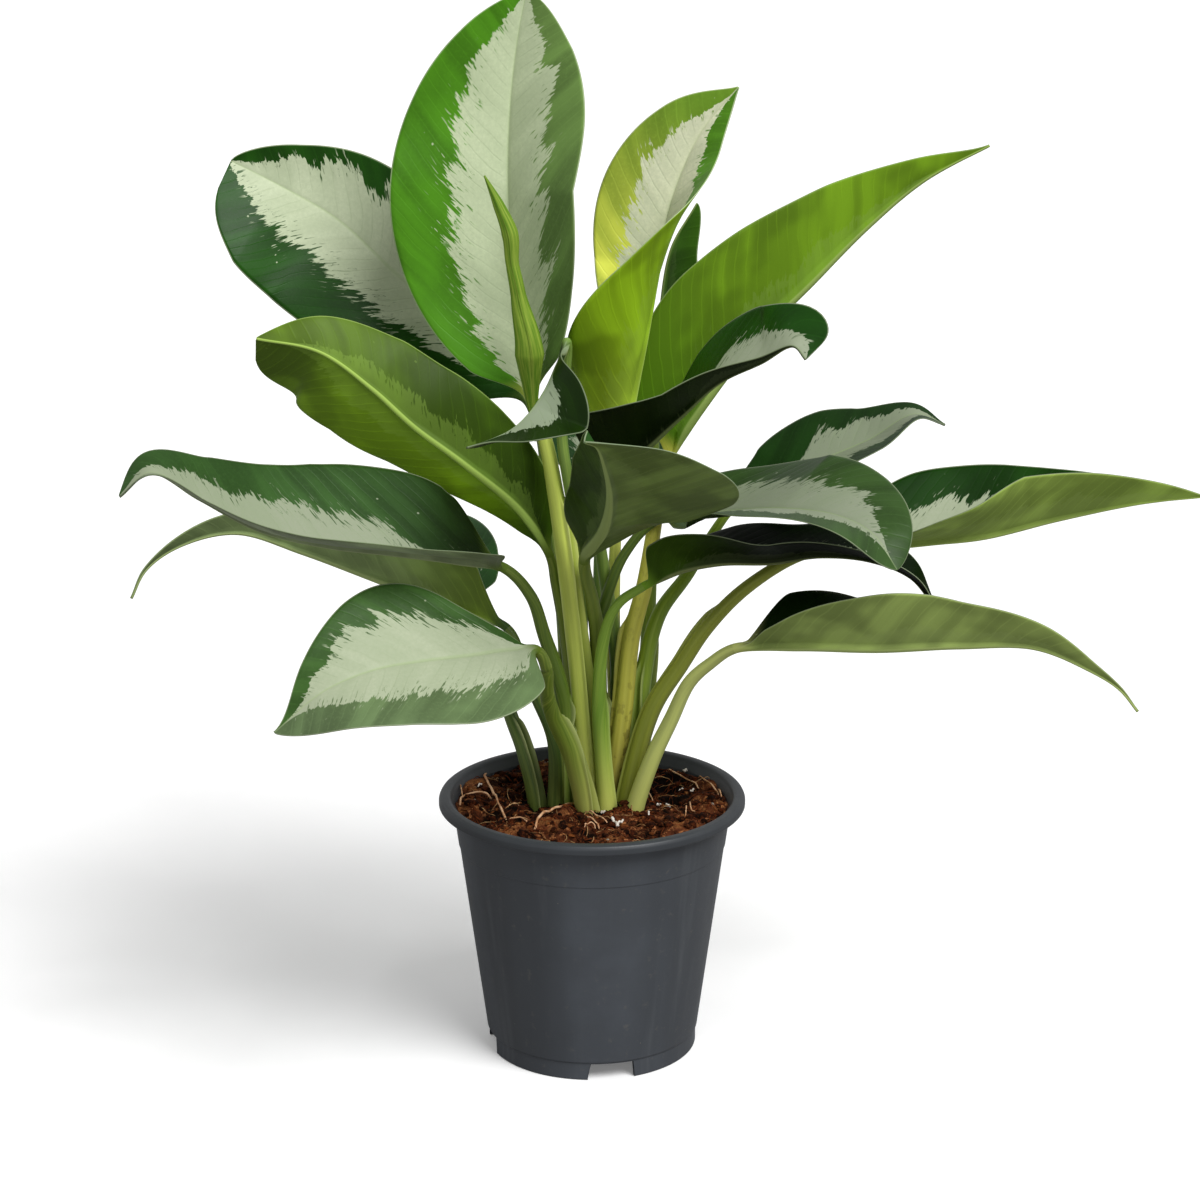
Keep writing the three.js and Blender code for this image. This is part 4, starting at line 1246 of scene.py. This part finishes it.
def floor_material():
    """A pale floor that throws back less light than it shows, like a floor lit apart from the plant."""
    net = Skin("pale_floor")
    shader = net.shader
    grain = net.noise(net.object_place(), 60.0, 3.0)
    net.put(shader.inputs["Base Color"], net.mix(grain, linear("f6f6f6"), linear("fcfcfc")))
    shader.inputs["Roughness"].default_value = 0.9
    shader.inputs["Emission Color"].default_value = (1, 1, 1, 1)
    shader.inputs["Emission Strength"].default_value = FLOOR_GLOW
    dull = net.get("ShaderNodeBsdfDiffuse", 0, {"Color": (0.3, 0.3, 0.3, 1)})
    seen = net.get("ShaderNodeLightPath", "Is Camera Ray")
    both = net.get("ShaderNodeMixShader", 0, {0: seen, 1: dull, 2: Wire(net, shader.outputs[0])})
    net.put(net.tree.nodes["Material Output"].inputs["Surface"], both)
    return net.material


# ---------------------------------------------------------------- pieces


def make_leaf(name, number):
    leaf, look = LEAVES[name], LOOKS[name]
    seed = 11.0 * (number + 1)
    rows = leaf_rows(leaf, number, look)
    verts, faces, kinds = leaf_mesh(rows)
    stalk = stalk_material(name, look, seed, -float(rows["along"][0]))
    materials = [upper_material(name, look, seed), under_material(name, look, seed), stalk]
    slot = "young_leaf" if name == "young_upright" else "leaf"
    verts = np.clip(placed(verts), cad_box[0], cad_box[1])
    return make_piece(f"{name}_leaf", verts, faces, materials, f"leaf_{name}", leaf_uvs(rows), kinds)


def tube_faces(rings, sides):
    """The faces of a closed tube with its two ends capped."""
    index = np.arange(rings * sides).reshape(rings, sides)
    turned = np.roll(index, -1, axis=1)
    quads = np.stack([index[:-1], turned[:-1], turned[1:], index[1:]], axis=-1).reshape(-1, 4)
    return [list(q) for q in quads] + [list(index[0][::-1]), list(index[-1])]


def make_spear():
    """A leaf still rolled up: one turn of the sheet laps over the next along a slowly winding edge."""
    rows, columns = SPEAR_ROWS, SPEAR_COLUMNS
    shares = np.linspace(0, 1, rows + 1)
    points, length = evenly(Curve(SPEAR_KNOTS), 0, 1, shares)
    _, side, up = frames_along(points, SPEAR_FACE)
    radius = np.interp(shares, np.linspace(0, 1, len(SPEAR_RADII)), SPEAR_RADII)
    turn = np.linspace(0, 2 * np.pi, columns, endpoint=False)
    ring = radius[:, None] * (1 + SPEAR_LAP * (turn / (2 * np.pi) - 0.875))
    angle = SPEAR_SEAM + SPEAR_TWIST * shares[:, None] + turn
    verts = swept(points, side, up, ring * np.cos(angle), ring * np.sin(angle) * SPEAR_FLATNESS)
    verts = placed(verts.reshape(-1, 3))
    faces = tube_faces(rows + 1, columns)
    along = np.repeat(shares[:, None] * length / 100, columns, axis=1)
    around = np.repeat(np.abs(turn - np.pi)[None, :] / np.pi, rows + 1, axis=0)
    uvs = {"blade_mm": np.stack([along.ravel(), around.ravel()], axis=1)}
    skin = [spear_material()]
    return make_piece("furled_spear", verts, faces, skin, "leaf_top_centre", uvs)


def wall_radius(z):
    return FOOT_RADIUS + (z - FOOT_HEIGHT) * WALL_SLOPE


def inner_radius(z):
    return wall_radius(z) - WALL


SOIL_EDGE = inner_radius(SOIL_LEVEL)


def rounded(points, radius=0.5, steps=3):
    """A closed profile with its corners cut to small arcs."""
    out = []
    count = len(points)
    for i, point in enumerate(points):
        here = np.array(point, float)
        before = np.array(points[i - 1], float) - here
        after = np.array(points[(i + 1) % count], float) - here
        cut = min(radius, np.linalg.norm(before) * 0.4, np.linalg.norm(after) * 0.4)
        a, b = here + unit(before) * cut, here + unit(after) * cut
        for k in range(steps + 1):
            t = k / steps
            out.append((1 - t) ** 2 * a + 2 * t * (1 - t) * here + t**2 * b)
    return out


def pot_profile():
    """The outline that is turned round the pot's axis: up the outside, over the rim and down the inside."""
    top = POT_HEIGHT
    under = top - RIM_DROP
    ledge = top - RIM_TOP_THICKNESS
    rim_inner = RIM_RADIUS - RIM_LIP_WIDTH
    rim_hollow = RIM_RADIUS - RIM_WALL
    neck = wall_radius(under) + STEP_OUT
    skirt = FOOT_RADIUS - FOOT_SET_IN
    skirt_inner = skirt - SKIRT_WALL
    floor_under = FLOOR_TOP - FLOOR_THICKNESS
    outer_skirt = [(skirt_inner, 0), (skirt - 0.6, 0), (skirt, 0.6), (skirt, FOOT_HEIGHT - 0.7)]
    wall = [(FOOT_RADIUS, FOOT_HEIGHT), (wall_radius(STEP_HEIGHT), STEP_HEIGHT)]
    wall += [(wall_radius(STEP_HEIGHT) + STEP_OUT, STEP_HEIGHT + 0.5), (neck, under)]
    hollow = [(neck + 0.8, ledge), (rim_hollow - 0.6, ledge), (rim_hollow, under)]
    rim = [(RIM_RADIUS - 0.5, under), (RIM_RADIUS, under + 0.6), (RIM_RADIUS, top - 2.4)]
    rim += [(RIM_RADIUS - 0.8, top - 0.7), (RIM_RADIUS - 2.6, top), (rim_inner + 1.8, top)]
    rim += [(rim_inner + 0.4, top - 0.6), (rim_inner - 0.4, top - 2.2)]
    inside = [(inner_radius(top - 6), top - 6), (inner_radius(FLOOR_TOP + 3), FLOOR_TOP + 3)]
    inside += [(inner_radius(FLOOR_TOP) - FLOOR_CORNER, FLOOR_TOP), (FLOOR_EYE, FLOOR_TOP)]
    below = [(FLOOR_EYE, floor_under), (skirt_inner, floor_under)]
    return outer_skirt + wall + hollow + rim + inside + below


def columns_over(start, span, is_notch):
    """Upright columns evenly over a span of angles, without its ends."""
    count = max(2, int(span / (math.tau / POT_COLUMNS)))
    angles = [start + span * k / count for k in range(1, count)]
    return [(angle, angle, is_notch) for angle in angles]


def pot_columns():
    """Angles at the wall and at the skirt's foot, and whether the column stands in a notch."""
    columns = []
    reach = math.asin(NOTCH_WIDTH / 2 / FOOT_RADIUS)
    slant = NOTCH_SLANT / FOOT_RADIUS
    small_slant = 1 / FOOT_RADIUS
    edge = NOTCH_EDGE
    for i in range(NOTCH_COUNT):
        middle = math.radians(NOTCH_TURN - 90 + 360 / NOTCH_COUNT * i)
        left, right = middle - reach, middle + reach
        columns += [(left - edge, left - slant - edge, False), (left, left - slant, True)]
        columns += [(right, right + small_slant, True), (right + edge, right + small_slant + edge, False)]
        columns += columns_over(left, 2 * reach, True)
        columns += columns_over(right, math.tau / NOTCH_COUNT - 2 * reach, False)
    return sorted(columns)


def make_pot():
    """The turned pot. Its skirt is drawn up at the notches, whose sides lean."""
    profile = rounded(pot_profile())
    columns = pot_columns()
    verts = []
    for wall_angle, foot_angle, is_notch in columns:
        for r, z in profile:
            low = max(0.0, min(1.0, 1 - z / NOTCH_HEIGHT)) if r > FOOT_RADIUS - 5 else 0.0
            height = max(z, NOTCH_HEIGHT) if is_notch else z
            verts.append((*polar(r, wall_angle + (foot_angle - wall_angle) * low), height))
    here = np.arange(len(verts)).reshape(len(columns), len(profile))
    there = np.roll(here, -1, axis=0)
    faces = np.stack([here, there, np.roll(there, -1, axis=1), np.roll(here, -1, axis=1)], axis=-1)
    faces = faces.reshape(-1, 4)
    ob = make_piece("nursery_pot", placed(verts), faces, [pot_material()], "pot")
    drill(ob)
    shape = bmesh.new()
    shape.from_mesh(ob.data)
    bmesh.ops.remove_doubles(shape, verts=shape.verts, dist=MERGE * MM)
    bmesh.ops.dissolve_degenerate(shape, dist=MERGE / 2 * MM, edges=shape.edges)
    shape.to_mesh(ob.data)
    shape.free()
    ob.data.set_sharp_from_angle(angle=math.radians(SHARP_FROM))
    return ob


def drill(pot):
    """The drain holes in the pot's floor."""
    cutter = bmesh.new()
    size = {"radius1": DRAIN_RADIUS * MM, "radius2": DRAIN_RADIUS * MM, "depth": DRILL_DEPTH * MM}
    for i in range(DRAIN_COUNT):
        made = bmesh.ops.create_cone(cutter, cap_ends=True, segments=32, **size)
        move = placed([*polar(DRAIN_RING, math.tau * i / DRAIN_COUNT), FLOOR_TOP - 1])
        bmesh.ops.translate(cutter, verts=made["verts"], vec=Vector(move))
    mesh = bpy.data.meshes.new("drill")
    cutter.to_mesh(mesh)
    cutter.free()
    tool = stand("drill", mesh)
    cut = pot.modifiers.new("drains", "BOOLEAN")
    cut.object = tool
    cut.operation = "DIFFERENCE"
    done = pot.evaluated_get(bpy.context.evaluated_depsgraph_get())
    fresh = bpy.data.meshes.new_from_object(done)
    pot.modifiers.clear()
    pot.data = fresh
    bpy.data.objects.remove(tool)


def soil_height(x, y):
    """The soil's surface without its crumbs."""
    r = np.hypot(x, y) / SOIL_EDGE
    lumps = np.sin(x * 0.21 + 1.3) * np.cos(y * 0.17) + 0.7 * np.sin(x * 0.37 - y * 0.29 + 2.1)
    lumps = lumps + 0.5 * np.cos(x * 0.11 + y * 0.53)
    level = SOIL_LEVEL + SOIL_CROWN * (1 - r * r) + SOIL_LUMP * lumps * 0.5 * (1 - r**4)
    return level + SOIL_BANK * smooth(0.45, 1.0, r) + heaps(x, y)


def heaps(x, y):
    """Clods heaped on the soil and hollows between them, in millimetres."""
    total = 0.0
    for place_x, place_y, reach, rise in HEAPS:
        total = total + rise * np.exp(-((x - place_x) ** 2 + (y - place_y) ** 2) / reach**2)
    return total


def relief(x, y, size, layer):
    """Random rises and dips of about this size, in another layer of the noise for each use."""
    return noise.noise(Vector((x / size, y / size, layer)))


def ground(x, y):
    """The soil's surface with its clods and crumbs, which fade towards the pot's wall."""
    crumbs = 2.8 * relief(x, y, 9, 5.0) + 1.6 * abs(relief(x, y, 3.2, 9.0)) + 0.8 * relief(x, y, 1.2, 2.0)
    fade = 1 - 0.6 * float(smooth(0.86, 1, math.hypot(x, y) / SOIL_EDGE))
    return float(soil_height(x, y)) + crumbs * fade


def ground_tone(x, y):
    """0 in a hollow in painted shade, 1 on a reddish clod with a painted highlight; the tone also varies at
    random.
    """
    return min(1.0, max(0.0, 0.5 + 0.12 * float(heaps(x, y)) + 0.4 * relief(x, y, 6, 31.0)))


def pot_inside(z):
    """The pot's inner radius, which opens out towards the rim."""
    slope_top = POT_HEIGHT - 6
    opened = RIM_RADIUS - RIM_LIP_WIDTH - 0.4
    return float(np.interp(z, [slope_top, POT_HEIGHT - 2.2], [inner_radius(slope_top), opened]))


def soil_points():
    """The soil's top in rings from the middle out, its side in rings down, and the middle of its floor."""
    points = [(0, 0, ground(0, 0))]
    angles = [math.tau * i / SOIL_COLUMNS for i in range(SOIL_COLUMNS)]
    edges = [max(SOIL_EDGE, pot_inside(ground(*polar(SOIL_EDGE, angle)))) - GAP for angle in angles]
    for k in range(1, SOIL_RINGS + 1):
        for edge, angle in zip(edges, angles):
            x, y = polar(edge * (k / SOIL_RINGS) ** 0.8, angle)
            points.append((x, y, min(ground(x, y), POT_HEIGHT - 2)))
    floor = FLOOR_TOP + 0.4
    middle = SOIL_LEVEL - 6
    for radius, z in (
        (inner_radius(middle), middle),
        (inner_radius(floor + 3), floor + 3),
        (inner_radius(FLOOR_TOP) - FLOOR_CORNER - 0.4, floor),
    ):
        points += [(*polar(radius - GAP, angle), z) for angle in angles]
    return points + [(0, 0, floor)]


def make_soil():
    """The soil as one closed filling."""
    points = soil_points()
    rings = SOIL_RINGS + 3
    at = lambda k, i: 1 + k * SOIL_COLUMNS + i % SOIL_COLUMNS
    faces = []
    for i in range(SOIL_COLUMNS):
        faces.append((0, at(0, i), at(0, i + 1)))
        for k in range(rings - 1):
            faces.append((at(k, i), at(k + 1, i), at(k + 1, i + 1), at(k, i + 1)))
        faces.append((len(points) - 1, at(rings - 1, i + 1), at(rings - 1, i)))
    uvs = {"tone": np.array([(ground_tone(x, y), 0.0) for x, y, _ in points])}
    material = soil_material("coir_soil", "0e0502", "6a3820", "c88452", toned=True)
    return make_piece("soil_fill", placed(points), faces, [material], "soil", uvs)


def tube(points, radii, sides=5):
    """Vertices and faces of a closed tapering tube along points."""
    points = np.asarray(points, float)
    _, side, up = frames_along(points, TUBE_FACE)
    angles = 2 * np.pi * np.arange(sides) / sides
    radii = np.asarray(radii, float)[:, None]
    verts = swept(points, side, up, radii * np.cos(angles), radii * np.sin(angles))
    return verts.reshape(-1, 3), tube_faces(len(points), sides)


def strewn(name, parts, material):
    """Many small meshes on the soil as one piece."""
    verts, faces = [], []
    for part_verts, part_faces in parts:
        start = len(verts)
        verts.extend(part_verts)
        faces.extend([[i + start for i in face] for face in part_faces])
    return make_piece(name, placed(verts), faces, [material])


def inside_soil(draw, reach=0.97):
    """A random place on the soil."""
    r = SOIL_EDGE * reach * math.sqrt(draw.random())
    return polar(r, draw.uniform(0, math.tau))


def fibre_points(x, y, heading, bend, size, thick, lift):
    """A fibre's bent line along the ground, kept inside the pot and arched up by its lift."""
    limit = SOIL_EDGE - 1.2
    points = []
    for k in range(FIBRE_STEPS + 1):
        far = math.hypot(x, y)
        if far > limit:
            x, y = x * limit / far, y * limit / far
        arch = lift * math.sin(math.pi * (k / FIBRE_STEPS))
        points.append((x, y, ground(x, y) + thick * 0.6 + arch))
        heading += bend
        x += size / FIBRE_STEPS * math.cos(heading)
        y += size / FIBRE_STEPS * math.sin(heading)
    return points


def make_fibres(name, count, length, radius, rise, colours):
    """Short bent fibres lying on the soil."""
    draw = seeded(name)
    parts = []
    for _ in range(count):
        x, y = inside_soil(draw)
        heading = draw.uniform(0, math.tau)
        bend = draw.uniform(-FIBRE_BEND, FIBRE_BEND)
        size = draw.uniform(*length)
        thick = draw.uniform(*radius)
        points = fibre_points(x, y, heading, bend, size, thick, draw.uniform(0, rise))
        taper = [1 - 0.6 * abs(2 * k / FIBRE_STEPS - 1) ** 2 for k in range(FIBRE_STEPS + 1)]
        parts.append(tube(points, [thick * share for share in taper], 4))
    return strewn(name, parts, fibre_material(name, *colours))


def unit_ball():
    """The corners and faces of a ball of radius 1."""
    ball = bmesh.new()
    bmesh.ops.create_icosphere(ball, subdivisions=2, radius=1.0)
    ball.verts.ensure_lookup_table()
    corners = np.array([v.co[:] for v in ball.verts])
    faces = [[v.index for v in f.verts] for f in ball.faces]
    ball.free()
    return corners, faces


def make_crumbs(name, count, size, colours, reach=0.97, bumpy=0.35):
    """Small rough lumps half sunk in the soil."""
    draw = seeded(name)
    corners, faces = unit_ball()
    parts = []
    for _ in range(count):
        x, y = inside_soil(draw, reach)
        scale = draw.uniform(*size)
        stretch = np.array([draw.uniform(0.7, 1.5), draw.uniform(0.7, 1.1), draw.uniform(0.5, 0.8)])
        offset = Vector((draw.uniform(0, 90), 0, 0))
        rough = np.array([1 + bumpy * noise.noise(Vector(c) * 1.6 + offset) for c in corners])
        tilt = (draw.uniform(-0.4, 0.4), draw.uniform(-0.4, 0.4), draw.uniform(0, 6.28))
        shape = (corners * rough[:, None] * stretch * scale) @ np.array(Euler(tilt).to_matrix()).T
        parts.append((shape + [x, y, ground(x, y) + scale * 0.15], faces))
    return strewn(name, parts, soil_material(name, *colours, scale=1.6))


# Pale roots that lie bare on the soil: points across it in mm, and the radius.
ROOTS = [
    ([(-60, 53), (-61, 35), (-55, 7), (-50, -16), (-46, -31)], 0.75),
    ([(-73, -10), (-72, -2), (-70, 6), (-56, 6)], 0.65),
    ([(-74, 22), (-73, 12), (-72, 4)], 0.45),
    ([(-31, -46), (-27, -33), (-21, -20), (-13, -10), (-6, 2)], 0.85),
    ([(-5, -6), (-1, 4), (4, 14)], 0.4),
    ([(-42, 28), (-37, 23), (-32, 14)], 0.45),
    ([(43, 58), (47, 48), (53, 39), (60, 26)], 0.5),
    ([(71, 20), (72, 4)], 0.5),
    ([(-16, 39), (-13, 21), (-9, 11)], 0.4),
    ([(-46, -11), (-43, -9), (-40, -10)], 0.45),
    ([(-6, -33), (-1, -36), (4, -44)], 0.55),
    ([(-4, -46), (-1, -43), (2, -44)], 0.4),
    ([(-2, -18), (1, -26), (9, -40)], 0.5),
    ([(52, -13), (51, -33)], 0.4),
    ([(54, -8), (55, -20), (57, -18)], 0.45),
    ([(22, 7), (24, -3), (27, -8)], 0.4),
    ([(60, 38), (66, 25), (71, 12)], 0.45),
    ([(27, 35), (31, 21), (34, 7)], 0.4),
    ([(-46, -31), (-39, -31), (-35, -41)], 0.45),
]
# White bits of broken root.
WHITE_BITS = [
    ([(41, -9), (43, -6)], 0.7), ([(36, -3), (38, 1)], 0.6), ([(49, 24), (51, 27)], 0.6),
    ([(55, 18), (57, 21)], 0.6), ([(52, 49), (54, 52)], 0.7), ([(31, -33), (31, -28)], 0.6),
    ([(5, -22), (7, -20)], 0.6), ([(11, -32), (14, -43)], 1.0), ([(17, -34), (14, -40)], 0.7),
    ([(-64, 16), (-62, 19)], 0.5),
]


def root_height(x, y, share, radius, dip):
    """How high a root lies at a share of its length. Both its ends dip into the soil."""
    sink = dip * (1 - float(smooth(0, 0.1, share))) + dip * float(smooth(0.9, 1, share))
    return float(soil_height(x, y)) + ROOT_LIFT - sink + 0.5 * math.sin(share * 9 + radius * 20)


def make_roots(name, paths, dip, colours):
    """Roots that lie on the soil with their ends sunk in it."""
    parts = []
    shares = np.linspace(0, 1, ROOT_POINTS)
    for plan, radius in paths:
        points, _ = evenly(Curve([(x, y, 0) for x, y in plan]), 0, 1, shares)
        last = len(points) - 1
        points[:, 2] = [root_height(x, y, k / last, radius, dip) for k, (x, y, _) in enumerate(points)]
        uneven = [noise.noise(Vector((k * 0.3, radius * 50, 0))) for k in range(len(points))]
        parts.append(tube(points, [radius * (0.85 + 0.25 * u) for u in uneven], 8))
    return strewn(name, parts, fibre_material(name, *colours))


# ---------------------------------------------------------------- floor, light, camera


def make_floor():
    mesh = bpy.data.meshes.new("floor")
    size = FLOOR_HALF
    corners = [(-size, -size, 0), (size, -size, 0), (size, size, 0), (-size, size, 0)]
    mesh.from_pydata(corners, [], [(0, 1, 2, 3)])
    mesh.materials.append(floor_material())
    floor = stand("floor", mesh)
    floor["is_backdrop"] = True


def sun_light(name, source, softness, power):
    light = bpy.data.lights.new(name, "SUN")
    light.angle = math.radians(softness)
    light.energy = power
    ob = stand(name, light)
    ob.location = source
    ob.rotation_euler = Vector(source).to_track_quat("Z", "Y").to_euler()


def make_light():
    """A soft lamp from the front right, and light from all round."""
    world = bpy.data.worlds.new("studio")
    world.use_nodes = True
    net = Net(world.node_tree)
    back = world.node_tree.nodes["Background"]
    back.inputs["Color"].default_value = (1, 1, 1, 1)
    seen = net.get("ShaderNodeLightPath", "Is Camera Ray")
    net.put(back.inputs["Strength"], seen * (1 - ROOM_LIGHT) + ROOM_LIGHT)
    bpy.context.scene.world = world
    sun_light("key", KEY_FROM, KEY_SOFTNESS, KEY_POWER)
    bpy.context.scene.view_settings.view_transform = "Standard"


def make_camera():
    camera = bpy.data.cameras.new("camera")
    camera.lens = CAMERA_LENS
    camera.sensor_width = CAMERA_SENSOR
    camera.clip_end = 60
    ob = stand("camera", camera)
    ob.location = placed(CAMERA_PLACE)
    ob.rotation_euler = (math.radians(90 - CAMERA_DIP), 0, 0)
    bpy.context.scene.camera = ob


make_camera()
make_light()
make_floor()
make_pot()
make_soil()
make_fibres("soil_fibres", 520, (4, 16), (0.14, 0.34), 1.4, ("2e1208", "7a3c1c"))
make_fibres("pale_fibres", 60, (6, 22), (0.14, 0.3), 2.0, ("7a5230", "c8a070"))
make_crumbs("soil_crumbs", 420, (0.9, 2.8), ("1c0a04", "5c2a12", "9a5c30"))
make_crumbs("tan_chips", 90, (0.8, 2.0), ("6a3818", "98582c", "c89058"))
make_crumbs("white_grains", 14, (0.5, 1.0), ("a8a090", "cfc8b8", "e8e4da"), bumpy=0.2)
make_roots("bare_roots", ROOTS, 2.5, ("b07c54", "ecc098"))
make_roots("white_bits", WHITE_BITS, 0.3, ("c8bcae", "f4eee6"))
for leaf_number, leaf_name in enumerate(LEAVES):
    make_leaf(leaf_name, leaf_number)
make_spear()

as_numbers = lambda box: [[float(c) for c in corner] for corner in box]
str({"cad": as_numbers(cad_box), "visual": as_numbers(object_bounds())}).replace("'", '"')
